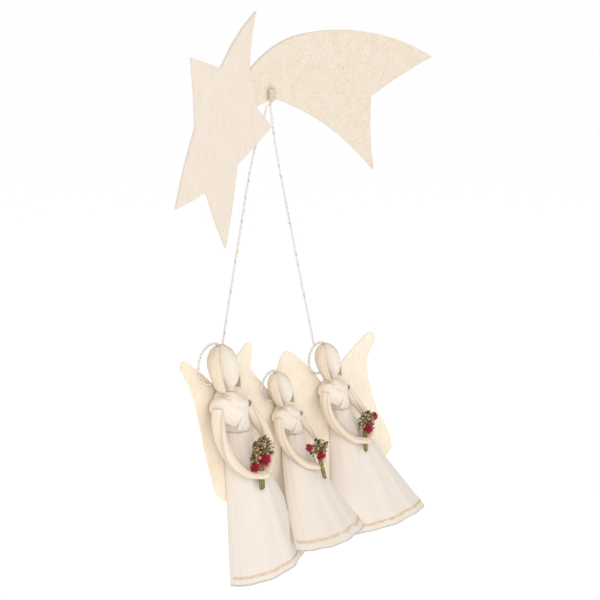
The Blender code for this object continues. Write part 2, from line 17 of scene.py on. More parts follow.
import bpy
import numpy as np
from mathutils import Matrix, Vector

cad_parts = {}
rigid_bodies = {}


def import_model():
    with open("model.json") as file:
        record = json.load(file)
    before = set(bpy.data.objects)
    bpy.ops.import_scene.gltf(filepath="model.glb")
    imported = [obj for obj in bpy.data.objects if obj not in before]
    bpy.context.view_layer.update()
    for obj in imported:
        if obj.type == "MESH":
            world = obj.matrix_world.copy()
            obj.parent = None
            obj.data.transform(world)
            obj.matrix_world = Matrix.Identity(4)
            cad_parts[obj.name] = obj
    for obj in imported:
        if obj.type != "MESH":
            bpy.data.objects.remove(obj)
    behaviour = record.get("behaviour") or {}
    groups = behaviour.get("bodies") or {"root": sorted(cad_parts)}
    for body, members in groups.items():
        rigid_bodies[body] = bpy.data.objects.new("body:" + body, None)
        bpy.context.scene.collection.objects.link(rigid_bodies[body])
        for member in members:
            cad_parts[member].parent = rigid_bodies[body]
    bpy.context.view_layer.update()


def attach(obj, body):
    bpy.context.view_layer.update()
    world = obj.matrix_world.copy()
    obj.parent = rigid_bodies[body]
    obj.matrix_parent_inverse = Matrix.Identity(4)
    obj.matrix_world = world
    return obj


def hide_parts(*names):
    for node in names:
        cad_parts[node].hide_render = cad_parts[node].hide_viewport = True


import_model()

LOG = logging.getLogger("husk_hanging")
MM = 0.001
BODY = "root"
RELIEF_DEPTH = 0.3 * MM
HUSK_SHEEN = 0.15
PALE_SHARE = 0.62
DASHES = 150
GOLD_TONE = 0.9
Colour = tuple[float, float, float]
Shape = Callable[[np.ndarray, np.ndarray], tuple[np.ndarray, np.ndarray]]


class Flow(Enum):
    """What the fibres of a husk finish follow."""

    SURFACE = "surface"
    UPRIGHT = "upright"
    SCATTERED = "scattered"


class Sheet:
    """Short calls that lay out one node tree."""

    def __init__(self, tree: bpy.types.NodeTree) -> None:
        """Keep the tree.

        Args:
            tree: The tree that takes the nodes.
        """
        self.tree = tree

    def add(self, kind: str, values: dict | None = None, **settings: object) -> bpy.types.Node:
        """Add a node.

        Args:
            kind: The node's type.
            values: Socket values by name or number; a socket given as value is linked.
            **settings: Properties of the node.

        Returns:
            The new node.
        """
        node = self.tree.nodes.new(kind)
        for key, value in settings.items():
            setattr(node, key, value)
        for key, value in (values or {}).items():
            if isinstance(value, bpy.types.NodeSocket):
                self.tree.links.new(value, node.inputs[key])
            else:
                node.inputs[key].default_value = value
        return node

    def ramp(self, fac: bpy.types.NodeSocket, stops: list[tuple[float, Colour]]) -> bpy.types.NodeSocket:
        """Add a colour ramp.

        Args:
            fac: The value that is looked up.
            stops: Places and colours.

        Returns:
            The colour socket.
        """
        node = self.add("ShaderNodeValToRGB", {"Fac": fac})
        elements = node.color_ramp.elements
        while len(elements) < len(stops):
            elements.new(0.5)
        for element, (place, colour) in zip(elements, stops):
            element.position = place
            element.color = (*colour, 1.0)
        return node.outputs["Color"]

    def blend(self, fac: object, first: object, second: object) -> bpy.types.NodeSocket:
        """Mix two colours.

        Args:
            fac: Share of the second, a socket or a number.
            first: First colour, a socket or a colour.
            second: Second colour, a socket or a colour.

        Returns:
            The mixed colour.
        """
        node = self.add("ShaderNodeMix", data_type="RGBA")
        for slot, value in ((0, fac), (6, first), (7, second)):
            if isinstance(value, bpy.types.NodeSocket):
                self.tree.links.new(value, node.inputs[slot])
            else:
                node.inputs[slot].default_value = value if slot == 0 else (*value, 1.0)
        return node.outputs[2]

    def maths(self, operation: str, first: object, second: object = 0.0) -> bpy.types.NodeSocket:
        """Combine two values.

        Args:
            operation: The math node's operation.
            first: A socket or a number.
            second: A socket or a number.

        Returns:
            The result, kept from 0 to 1.
        """
        node = self.add("ShaderNodeMath", {0: first, 1: second}, operation=operation, use_clamp=True)
        return node.outputs[0]


def group_tree(name: str, inputs: dict[str, str], outputs: dict[str, str]) -> tuple:
    """Start a shared node group.

    Args:
        name: Name of the group.
        inputs: Socket types by name.
        outputs: Socket types by name.

    Returns:
        The group, its sheet, its input node and its output node.
    """
    tree = bpy.data.node_groups.new(name, "ShaderNodeTree")
    for way, sockets in (("INPUT", inputs), ("OUTPUT", outputs)):
        for label, kind in sockets.items():
            tree.interface.new_socket(label, in_out=way, socket_type=kind)
    sheet = Sheet(tree)
    return tree, sheet, sheet.add("NodeGroupInput"), sheet.add("NodeGroupOutput")


def husk_group() -> bpy.types.NodeTree:
    """Build the fibres, mottling and flecks that every husk finish shares, and mix its painted shade and tint
    towards the shadow colour.

    Returns:
        The node group.
    """
    colour = "NodeSocketColor"
    value = "NodeSocketFloat"
    tree, sheet, given, out = group_tree(
        "husk_fibres",
        {"Fibres": "NodeSocketVector", "Place": "NodeSocketVector", "Light": colour, "Deep": colour,
         "Shadow": colour, "Fleck": colour, "Shade and tint": value, "Fibre amount": value,
         "Mottle amount": value, "Fleck amount": value},
        {"Colour": colour, "Roughness": value, "Height": value})
    fine = sheet.add("ShaderNodeTexNoise", {"Vector": given.outputs["Fibres"], "Scale": 1.0, "Detail": 6.0,
                                            "Roughness": 0.62})
    broad = sheet.add("ShaderNodeTexNoise", {"Vector": given.outputs["Place"], "Scale": 95.0, "Detail": 3.0,
                                             "Roughness": 0.55})
    spots = sheet.add("ShaderNodeTexNoise", {"Vector": given.outputs["Place"], "Scale": 620.0, "Detail": 2.0})
    fibre = sheet.add("ShaderNodeMapRange", {"Value": fine.outputs["Fac"], 1: 0.34, 2: 0.68})
    mottle = sheet.add("ShaderNodeMapRange", {"Value": broad.outputs["Fac"], 1: 0.38, 2: 0.68})
    fleck = sheet.add("ShaderNodeMapRange", {"Value": spots.outputs["Fac"], 1: 0.69, 2: 0.75})
    depth = sheet.maths("ADD", sheet.maths("MULTIPLY", fibre.outputs[0], given.outputs["Fibre amount"]),
                        sheet.maths("MULTIPLY", mottle.outputs[0], given.outputs["Mottle amount"]))
    plain = sheet.blend(depth, given.outputs["Light"], given.outputs["Deep"])
    flecked = sheet.blend(sheet.maths("MULTIPLY", fleck.outputs[0], given.outputs["Fleck amount"]), plain,
                          given.outputs["Fleck"])
    # Painted shade in creases and hollows, and the head's golden tint, mixed towards the shadow colour.
    shaded_and_tinted = sheet.blend(given.outputs["Shade and tint"], flecked, given.outputs["Shadow"])
    rough = sheet.add("ShaderNodeMapRange", {"Value": fibre.outputs[0], 3: 0.42, 4: 0.66})
    tree.links.new(shaded_and_tinted, out.inputs["Colour"])
    tree.links.new(rough.outputs[0], out.inputs["Roughness"])
    tree.links.new(fibre.outputs[0], out.inputs["Height"])
    return tree


def tone_group() -> bpy.types.NodeTree:
    """Build the dry grain that the petals, leaves and threads share.

    Returns:
        The node group.
    """
    colour = "NodeSocketColor"
    value = "NodeSocketFloat"
    tree, sheet, given, out = group_tree(
        "dry_grain",
        {"Place": "NodeSocketVector", "Base": colour, "Dry": colour, "Scale": value, "Shade and tint": value,
         "Shadow": colour},
        {"Colour": colour, "Roughness": value, "Height": value})
    grain = sheet.add("ShaderNodeTexNoise", {"Vector": given.outputs["Place"], "Detail": 4.0,
                                             "Scale": given.outputs["Scale"], "Roughness": 0.6})
    mask = sheet.add("ShaderNodeMapRange", {"Value": grain.outputs["Fac"], 1: 0.42, 2: 0.66})
    mixed = sheet.blend(mask.outputs[0], given.outputs["Base"], given.outputs["Dry"])
    # Painted shade in hollows and grooves, and the darker petal edges, mixed in towards the shadow colour.
    dark = sheet.blend(given.outputs["Shade and tint"], mixed, given.outputs["Shadow"])
    rough = sheet.add("ShaderNodeMapRange", {"Value": grain.outputs["Fac"], 3: 0.5, 4: 0.85})
    tree.links.new(dark, out.inputs["Colour"])
    tree.links.new(rough.outputs[0], out.inputs["Roughness"])
    tree.links.new(grain.outputs["Fac"], out.inputs["Height"])
    return tree


HUSK = husk_group()
GRAIN = tone_group()


def start_material(name: str) -> tuple[bpy.types.Material, Sheet, bpy.types.Node]:
    """Make a material with its shader.

    Args:
        name: Name of the material.

    Returns:
        The material, its sheet and its Principled shader.
    """
    made = bpy.data.materials.new(name)
    made.use_nodes = True
    sheet = Sheet(made.node_tree)
    return made, sheet, made.node_tree.nodes["Principled BSDF"]


def attribute(sheet: Sheet, name: str) -> bpy.types.NodeSocket:
    """Read a piece's own value.

    Args:
        sheet: The material's sheet.
        name: Name of the value.

    Returns:
        The value's socket.
    """
    return sheet.add("ShaderNodeAttribute", attribute_name=name).outputs["Fac"]


def feed_shader(sheet: Sheet, shader: bpy.types.Node, group: bpy.types.Node, relief: float) -> None:
    """Feed a shader's colour, roughness and normal from a shared group.

    Args:
        sheet: The material's sheet.
        shader: Its Principled shader.
        group: The group's node, which puts out a colour, a roughness and a height.
        relief: Strength of the fine relief.
    """
    bump = sheet.add("ShaderNodeBump", {"Height": group.outputs["Height"], "Strength": relief,
                                        "Distance": RELIEF_DEPTH})
    for source, socket in ((group.outputs["Colour"], "Base Color"), (group.outputs["Roughness"], "Roughness"),
                           (bump.outputs["Normal"], "Normal")):
        sheet.tree.links.new(source, shader.inputs[socket])


@dataclass(frozen=True)
class HuskFinish:
    """Dried corn husk: satin, with fibres and mottling, and warm painted shade in its creases."""

    name: str
    light: Colour = (0.93, 0.84, 0.72)
    deep: Colour = (0.86, 0.70, 0.50)
    shadow: Colour = (0.42, 0.22, 0.08)
    fleck: Colour = (0.30, 0.17, 0.08)
    flow: Flow = Flow.SURFACE
    stretch: tuple[float, float, float] = (160.0, 3.0, 1.0)
    fibre_amount: float = 0.55
    mottle_amount: float = 0.15
    fleck_amount: float = 0.0
    # Whether the finish takes the pieces' painted shade and tint.
    shaded_and_tinted: bool = True
    relief: float = 0.25

    def build(self) -> bpy.types.Material:
        """Build the material.

        Returns:
            The material.
        """
        made, sheet, shader = start_material(self.name)
        place = sheet.add("ShaderNodeTexCoord")
        source = place.outputs["UV" if self.flow is Flow.SURFACE else "Object"]
        mapped = sheet.add("ShaderNodeMapping", {"Vector": source, "Scale": self.stretch})
        vector = mapped.outputs["Vector"]
        if self.flow is Flow.SCATTERED:
            turned = sheet.add("ShaderNodeTexNoise", {"Vector": source, "Scale": 60.0, "Detail": 2.0})
            bent = sheet.add("ShaderNodeMix", {0: 0.35, 4: vector, 5: turned.outputs["Color"]},
                             data_type="VECTOR")
            vector = bent.outputs[1]
        values = {"Fibres": vector, "Place": place.outputs["Object"], "Light": (*self.light, 1.0),
                  "Deep": (*self.deep, 1.0), "Shadow": (*self.shadow, 1.0), "Fleck": (*self.fleck, 1.0),
                  "Fibre amount": self.fibre_amount, "Mottle amount": self.mottle_amount,
                  "Fleck amount": self.fleck_amount}
        # Painted shade in creases and hollows, with the head's golden tint, read from the piece.
        if self.shaded_and_tinted:
            values["Shade and tint"] = attribute(sheet, "shade_and_tint")
        group = sheet.add("ShaderNodeGroup", values, node_tree=HUSK)
        feed_shader(sheet, shader, group, self.relief)
        shader.inputs["Sheen Weight"].default_value = HUSK_SHEEN
        return made


@dataclass(frozen=True)
class DryFinish:
    """Dried petals, leaves, buds or thread, whose tone runs through a row of colours."""

    name: str
    tones: tuple[tuple[float, Colour], ...]
    dry: Colour
    shadow: Colour
    grain: float = 900.0
    relief: float = 0.4
    metallic: float = 0.0

    def build(self) -> bpy.types.Material:
        """Build the material.

        Returns:
            The material.
        """
        made, sheet, shader = start_material(self.name)
        place = sheet.add("ShaderNodeTexCoord")
        tone = sheet.ramp(attribute(sheet, "tone"), list(self.tones))
        # The pieces' painted shade in hollows, and darker petal edges, go in towards the shadow colour.
        values = {"Place": place.outputs["Object"], "Base": tone, "Dry": (*self.dry, 1.0),
                  "Scale": self.grain, "Shade and tint": attribute(sheet, "shade_and_tint"), "Shadow": (*self.shadow, 1.0)}
        group = sheet.add("ShaderNodeGroup", values, node_tree=GRAIN)
        feed_shader(sheet, shader, group, self.relief)
        shader.inputs["Metallic"].default_value = self.metallic
        return made


class Finishes:
    """The finishes of the hanging, each built once."""

    def __init__(self) -> None:
        """Build every finish."""
        self.star = HuskFinish("star_husk", (0.79, 0.70, 0.61), (0.72, 0.61, 0.49), flow=Flow.UPRIGHT,
                               stretch=(900.0, 1.0, 45.0), fibre_amount=0.7, mottle_amount=0.2,
                               fleck_amount=0.10, shaded_and_tinted=False, relief=0.35).build()
        self.tail = HuskFinish("tail_husk", (0.80, 0.72, 0.62), (0.70, 0.55, 0.37), flow=Flow.SCATTERED,
                               stretch=(620.0, 1.0, 900.0), fibre_amount=0.55, mottle_amount=0.22,
                               fleck_amount=0.75, shaded_and_tinted=False, relief=0.5).build()
        self.wing = HuskFinish("wing_husk", (0.93, 0.84, 0.71), (0.86, 0.70, 0.49), flow=Flow.SCATTERED,
                               stretch=(700.0, 1.0, 150.0), fibre_amount=0.5, mottle_amount=0.34,
                               fleck_amount=0.12, shaded_and_tinted=False, relief=0.45).build()
        self.skirt = HuskFinish("skirt_husk", (0.79, 0.715, 0.64), (0.76, 0.65, 0.545),
                                stretch=(240.0, 2.0, 1.0), fibre_amount=0.42, mottle_amount=0.10,
                                relief=0.15).build()
        self.bodice = HuskFinish("bodice_husk", (0.83, 0.75, 0.67), (0.78, 0.645, 0.49),
                                 stretch=(60.0, 2.0, 1.0), fibre_amount=0.4, relief=0.15).build()
        self.head = HuskFinish("head_husk", (0.85, 0.78, 0.70), (0.78, 0.64, 0.47), stretch=(150.0, 1.5, 1.0),
                               fibre_amount=0.45, relief=0.2).build()
        self.hair = HuskFinish("hair_husk", (0.87, 0.79, 0.68), (0.76, 0.58, 0.37), (0.50, 0.30, 0.12),
                               stretch=(190.0, 1.5, 1.0), fibre_amount=0.6).build()
        self.sleeve = HuskFinish("sleeve_husk", (0.82, 0.73, 0.61), (0.76, 0.58, 0.38),
                                 stretch=(50.0, 2.0, 1.0), fibre_amount=0.45, relief=0.2).build()
        self.cord = DryFinish("silver_cord", ((0.0, (0.88, 0.87, 0.85)), (0.72, (0.86, 0.84, 0.80)),
                                              (0.80, (0.70, 0.46, 0.18)), (1.0, (0.45, 0.26, 0.10))),
                              (0.80, 0.78, 0.75), (0.48, 0.44, 0.38), 2600.0, 0.25, 0.08).build()
        self.braid = DryFinish("gold_braid", ((0.0, (0.86, 0.68, 0.38)), (1.0, (0.62, 0.40, 0.16))),
                               (0.72, 0.50, 0.22), (0.45, 0.28, 0.12), 2600.0, 0.3, 0.2).build()
        self.rose = DryFinish("rose_petals", ((0.0, (0.46, 0.016, 0.04)), (0.55, (0.74, 0.04, 0.09)),
                                              (1.0, (0.78, 0.13, 0.15))),
                              (0.45, 0.02, 0.04), (0.10, 0.004, 0.010), 500.0).build()
        self.leaf = DryFinish("dried_greenery", ((0.0, (0.05, 0.065, 0.018)), (0.5, (0.13, 0.15, 0.04)),
                                                 (0.8, (0.38, 0.38, 0.12)), (1.0, (0.30, 0.13, 0.05))),
                              (0.11, 0.10, 0.03), (0.03, 0.03, 0.01), 700.0).build()
        self.bud = DryFinish("small_blossoms", ((0.0, (0.93, 0.86, 0.70)), (0.40, (0.90, 0.62, 0.38)),
                                                (0.70, (0.78, 0.34, 0.15)), (1.0, (0.33, 0.06, 0.04))),
                             (0.80, 0.60, 0.42), (0.30, 0.12, 0.06), 1200.0).build()


def deselect() -> None:
    """Select nothing, so that the next piece is worked on alone."""
    bpy.ops.object.select_all(action="DESELECT")


def sculpt(name: str, columns: int, rows: int, shape: Shape, wraps: bool = True, tone: float = 0.0,
           wall: float = 0.0) -> bpy.types.Object:
    """Shape a grid primitive into a closed piece.

    Args:
        name: Name of the piece.
        columns: Faces round the piece.
        rows: Faces along it.
        shape: Gives places in metres and values of painted shade and tint for shares round and along.
        wraps: Whether its sides meet, so that its ends are capped; if not it gets a wall.
        tone: The piece's tone from 0 to 1.
        wall: Thickness of a piece that doesn't wrap.

    Returns:
        The piece, with its place in its mesh.
    """
    deselect()
    bpy.ops.mesh.primitive_grid_add(x_subdivisions=columns, y_subdivisions=rows, size=1.0, calc_uvs=True)
    piece = bpy.context.active_object
    piece.name = name
    data = piece.data
    flat = np.empty(len(data.vertices) * 3)
    data.vertices.foreach_get("co", flat)
    flat = flat.reshape(-1, 3)
    places, shade_and_tint = shape(flat[:, 0] + 0.5, flat[:, 1] + 0.5)
    data.vertices.foreach_set("co", np.ascontiguousarray(places).ravel())
    # Each piece carries a value of painted shade in its creases, grooves and hollows, with some pieces' own
    # darker tint; the finishes mix it towards their shadow colour.
    for label, values in (("shade_and_tint", np.clip(shade_and_tint, 0.0, 1.0)), ("tone", np.full(len(places), tone)),
                          ("reach", flat[:, 1] + 0.5)):
        layer = data.attributes.new(label, "FLOAT", "POINT")
        layer.data.foreach_set("value", values)
    data.update()
    if not wraps:
        solid = piece.modifiers.new("wall", "SOLIDIFY")
        solid.thickness = wall
        solid.offset = 0.0
        bpy.ops.object.modifier_apply(modifier=solid.name)
    bpy.ops.object.mode_set(mode="EDIT")
    bpy.ops.mesh.select_all(action="SELECT")
    if wraps:
        bpy.ops.mesh.remove_doubles(threshold=1e-7)
        bpy.ops.mesh.select_all(action="DESELECT")
        bpy.ops.mesh.select_mode(type="EDGE")
        bpy.ops.mesh.select_non_manifold(extend=False, use_wire=False, use_boundary=True,
                                         use_multi_face=False, use_non_contiguous=False, use_verts=False)
        bpy.ops.mesh.edge_face_add()
        bpy.ops.mesh.select_all(action="SELECT")
    bpy.ops.mesh.normals_make_consistent(inside=False)
    bpy.ops.mesh.select_mode(type="VERT")
    bpy.ops.object.mode_set(mode="OBJECT")
    bpy.ops.object.shade_smooth()
    return piece


def join(name: str, parts: list[bpy.types.Object]) -> bpy.types.Object:
    """Join parts into one piece.

    Args:
        name: Name of the piece.
        parts: The parts.

    Returns:
        The piece.
    """
    deselect()
    for part in parts:
        part.select_set(True)
    bpy.context.view_layer.objects.active = parts[0]
    bpy.ops.object.join()
    parts[0].name = name
    return parts[0]


def install(piece: bpy.types.Object, finish: bpy.types.Material, slot: str, *nodes: str) -> bpy.types.Object:
    """Give a piece its finish and its body, and hide the nodes that it replaces.

    Args:
        piece: The piece.
        finish: Its material.
        slot: Not used.
        *nodes: Nodes that it replaces.

    Returns:
        The piece.
    """
    piece.data.materials.clear()
    piece.data.materials.append(finish)
    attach(piece, BODY)
    if nodes:
        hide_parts(*nodes)
    LOG.info("%s: %d faces", piece.name, len(piece.data.polygons))
    return piece


def smooth_points(points: list[Vector], steps: int) -> list[Vector]:
    """Read a smooth curve through points, as the solids do.

    Args:
        points: Points that the curve passes.
        steps: Points read for each stretch.

    Returns:
        The read points, both ends included.
    """
    path = [Vector(point) for point in points]
    path = [path[0] * 2 - path[1]] + path + [path[-1] * 2 - path[-2]]
    out = []
    for i in range(1, len(path) - 2):
        a, b, c, d = path[i - 1:i + 3]
        for step in range(steps):
            t = step / steps
            out.append(0.5 * (2 * b + (c - a) * t + (2 * a - 5 * b + 4 * c - d) * t * t
                              + (3 * b - a - 3 * c + d) * t ** 3))
    out.append(path[-2])
    return out


class Route:
    """A smooth path with a steady frame along it, read by share of its length."""

    def __init__(self, points: list[Vector], face: Vector) -> None:
        """Measure the path.

        Args:
            points: Points along the path, close together.
            face: Direction that the frame's outward axis keeps nearest to.
        """
        self.points = np.array([tuple(point) for point in points])
        steps = np.linalg.norm(np.diff(self.points, axis=0), axis=1)
        self.length = float(steps.sum())
        self.shares = np.concatenate(([0.0], np.cumsum(steps))) / self.length
        along = np.gradient(self.points, axis=0)
        self.along = along / np.linalg.norm(along, axis=1)[:, None]
        out = np.tile(np.array(tuple(face)), (len(points), 1))
        out = out - self.along * (out * self.along).sum(axis=1)[:, None]
        self.out = out / np.linalg.norm(out, axis=1)[:, None]
        self.across = np.cross(self.along, self.out)

    def read(self, table: np.ndarray, share: np.ndarray) -> np.ndarray:
        """Read a row of vectors at shares of the length.

        Args:
            table: Vectors, one for each point of the path.
            share: Shares of the length.

        Returns:
            The vectors there, one row each.
        """
        return np.stack([np.interp(share, self.shares, table[:, axis]) for axis in range(3)], axis=1)

    def place(self, share: np.ndarray, across: np.ndarray, out: np.ndarray) -> np.ndarray:
        """Place points beside the path.

        Args:
            share: Shares of the length.
            across: Distances across, in metres.
            out: Distances outwards, in metres.

        Returns:
            The places.
        """
        return (self.read(self.points, share) + self.read(self.across, share) * across[:, None]
                + self.read(self.out, share) * out[:, None])


def strand(name: str, route: Route, radius: float, thickness: float, twists: float, phase: float,
           sides: int = 6, steps: int = 400, tone: float = 0.0) -> bpy.types.Object:
    """Make one strand that winds round a route.

    Args:
        name: Name of the strand.
        route: The route.
        radius: Radius of the winding.
        thickness: Radius of the strand.
        twists: Turns along the route.
        phase: Turn at its start, in radians.
        sides: Faces round the strand.
        steps: Faces along it.
        tone: Its tone.

    Returns:
        The strand.
    """
    def shape(round_share: np.ndarray, along: np.ndarray) -> tuple[np.ndarray, np.ndarray]:
        wind = phase + along * twists * math.tau
        turn = round_share * math.tau
        across = radius * np.cos(wind) + thickness * np.cos(turn)
        out = radius * np.sin(wind) + thickness * np.sin(turn)
        # Painted shade on the side of the strand that faces the cord's middle.
        inward = 0.5 - 0.5 * np.cos(turn - wind)
        return route.place(along, across, out), 0.55 * inward ** 3

    return sculpt(name, sides, steps, shape, tone=tone)


def speckle(ply: bpy.types.Object, seed: int) -> None:
    """Put short gold dashes along one ply.

    Args:
        ply: The ply, whose grid runs along its length.
        seed: Seed of the dashes.
    """
    chance = random.Random(seed)
    marks = [GOLD_TONE if chance.random() > PALE_SHARE else 0.0 for _ in range(DASHES)]
    layer = ply.data.attributes["tone"].data
    share = ply.data.attributes["reach"].data
    for corner in range(len(ply.data.vertices)):
        layer[corner].value = marks[min(int(share[corner].value * len(marks)), len(marks) - 1)]


def pleats(turn: np.ndarray, seed: float) -> np.ndarray:
    """Fold irregular fine pleats round a piece.

    Args:
        turn: Angles round the piece.
        seed: Seed of their small differences.

    Returns:
        Depths, 0 on the ridges and 1 in the grooves.
    """
    wave = (np.sin(17 * turn + seed) + 0.8 * np.sin(29 * turn + 2.1 * seed)
            + 0.6 * np.sin(43 * turn + 3.7 * seed))
    return np.clip(0.5 + 0.32 * wave, 0.0, 1.0) ** 3


@dataclass
class Comet:
    """The flat star and tail, the knot on the tail and the two cords."""

    knot_x: float = 8.0 * MM
    knot_top: float = -14.5 * MM
    tail_edge: float = -24.8 * MM
    tail_thickness: float = 2.2 * MM
    fit_gap: float = 0.3 * MM
    knot_half_width: float = 3.2 * MM
    knot_half_depth: float = 2.1 * MM
    knot_turns: float = 6.0
    cord_radius: float = 1.1 * MM
    hook: float = 2.6 * MM
    cord_depth: float = 1.2 * MM
    start_gap: float = 0.7 * MM
    end_gap: float = 0.85 * MM
    halo_wire: float = 0.9 * MM
    halo_radius: float = 16.0 * MM
    cord_pitch: float = 4.6 * MM
    ply_share: float = 0.46
    # A cord's route is where it leaves beside the knot's middle, its turns as X, distance from the wall
    # and Z, its angel, the angle on the halo where it lands and the steps between its points. Lengths
    # are in millimetres and the angle is in degrees.
    routes: dict = field(default_factory=lambda: {
        "cord_left": (-1.7, ((-12.0, 1.2, -70.0), (-31.0, 1.9, -138.0)), "left", 46.4, 12),
        "cord_right": (1.7, ((18.0, 1.2, -70.0), (37.0, 1.9, -143.0)), "right", 116.4, 13),
    })

    def dress_sheets(self, finishes: Finishes) -> None:
        """Give the star and the tail their husk."""
        for node, finish in (("comet_star", finishes.star), ("comet_tail", finishes.tail)):
            for slot in bpy.data.objects[node].material_slots:
                slot.material = finish

    def build_knot(self, finishes: Finishes) -> None:
        """Wind the knot: a core and a thread that wraps it from top to foot."""
        front = -(self.tail_thickness + self.fit_gap + self.knot_half_depth)
        foot = self.tail_edge - self.fit_gap

        def core(turn: np.ndarray, along: np.ndarray) -> tuple[np.ndarray, np.ndarray]:
            size = 0.72 * np.sin(np.clip(along, 0.04, 0.96) * math.pi) ** 0.25
            x = self.knot_x + self.knot_half_width * size * np.cos(turn * math.tau)
            y = front + self.knot_half_depth * size * np.sin(turn * math.tau)
            z = self.knot_top + (foot - self.knot_top) * along
            # The core is painted half in shade, where it shows between the threads.
            return np.stack([x, y, z], axis=1), np.full_like(x, 0.5)

        parts = [sculpt("knot_core", 16, 12, core, tone=0.9)]
        for thread, tone in enumerate((0.84, 0.05, 0.82)):
            winding = []
            steps = 240
            for step in range(steps + 1):
                share = step / steps
                turn = (share * self.knot_turns + thread / 3) * math.tau
                winding.append(Vector((
                    self.knot_x + self.knot_half_width * 0.84 * math.cos(turn),
                    front + self.knot_half_depth * 0.80 * math.sin(turn),
                    self.knot_top - 0.5 * MM + (foot - self.knot_top + 1.0 * MM) * share)))
            parts.append(strand("knot_thread", Route(winding, Vector((0.0, 0.0, 1.0))), 0.16 * MM, 0.40 * MM,
                                28.0, 0.0, 6, 240, tone))
        for side, tone in ((-1.2, 0.0), (0.1, 0.0), (1.3, 0.8)):
            tail = [Vector((self.knot_x + side * MM, -1.9 * MM - 2.2 * MM * (1 - k / 8) ** 2,
                            foot + 1.2 * MM - k * 0.52 * MM)) for k in range(9)]
            parts.append(strand("knot_end", Route(tail, Vector((0.0, -1.0, 0.0))), 0.1 * MM, 0.62 * MM, 3.0,
                                0.0, 7, 30, tone))
        install(join("knot_wraps", parts), finishes.cord, "knot_thread", "cord_knot")

    def build_cords(self, finishes: Finishes, angels: dict[str, "Angel"]) -> None:
        """Twist the two cords, from the knot's foot to the halos that they carry."""
        for name, (leaves, turns, side, lands, steps) in self.routes.items():
            angel = angels[side]
            start = Vector((self.knot_x + leaves * MM, -self.cord_depth,
                            self.tail_edge - self.fit_gap - self.hook - self.start_gap))
            middle = [Vector((x, -distance, z)) * MM for x, distance, z in turns]
            turn = Vector((math.cos(math.radians(lands)), 0.0, math.sin(math.radians(lands))))
            ring = self.halo_radius * angel.scale + self.halo_wire
            end = angel.halo_centre() + turn * (ring + self.end_gap)
            path = smooth_points([start] + middle + [end], steps)
            route = Route(path, Vector((0.0, -1.0, 0.0)))
            twists = route.length / self.cord_pitch
            thickness = self.cord_radius * self.ply_share
            parts = []
            for ply, tone in enumerate((0.0, 0.05, 0.10)):
                parts.append(strand(name + "_ply", route, self.cord_radius - thickness, thickness, twists,
                                    ply * math.tau / 3, 7, 420, tone))
            speckle(parts[0], 7)
            piece = join(name + "_twist", parts)
            install(piece, finishes.cord, "silver_cord", name)


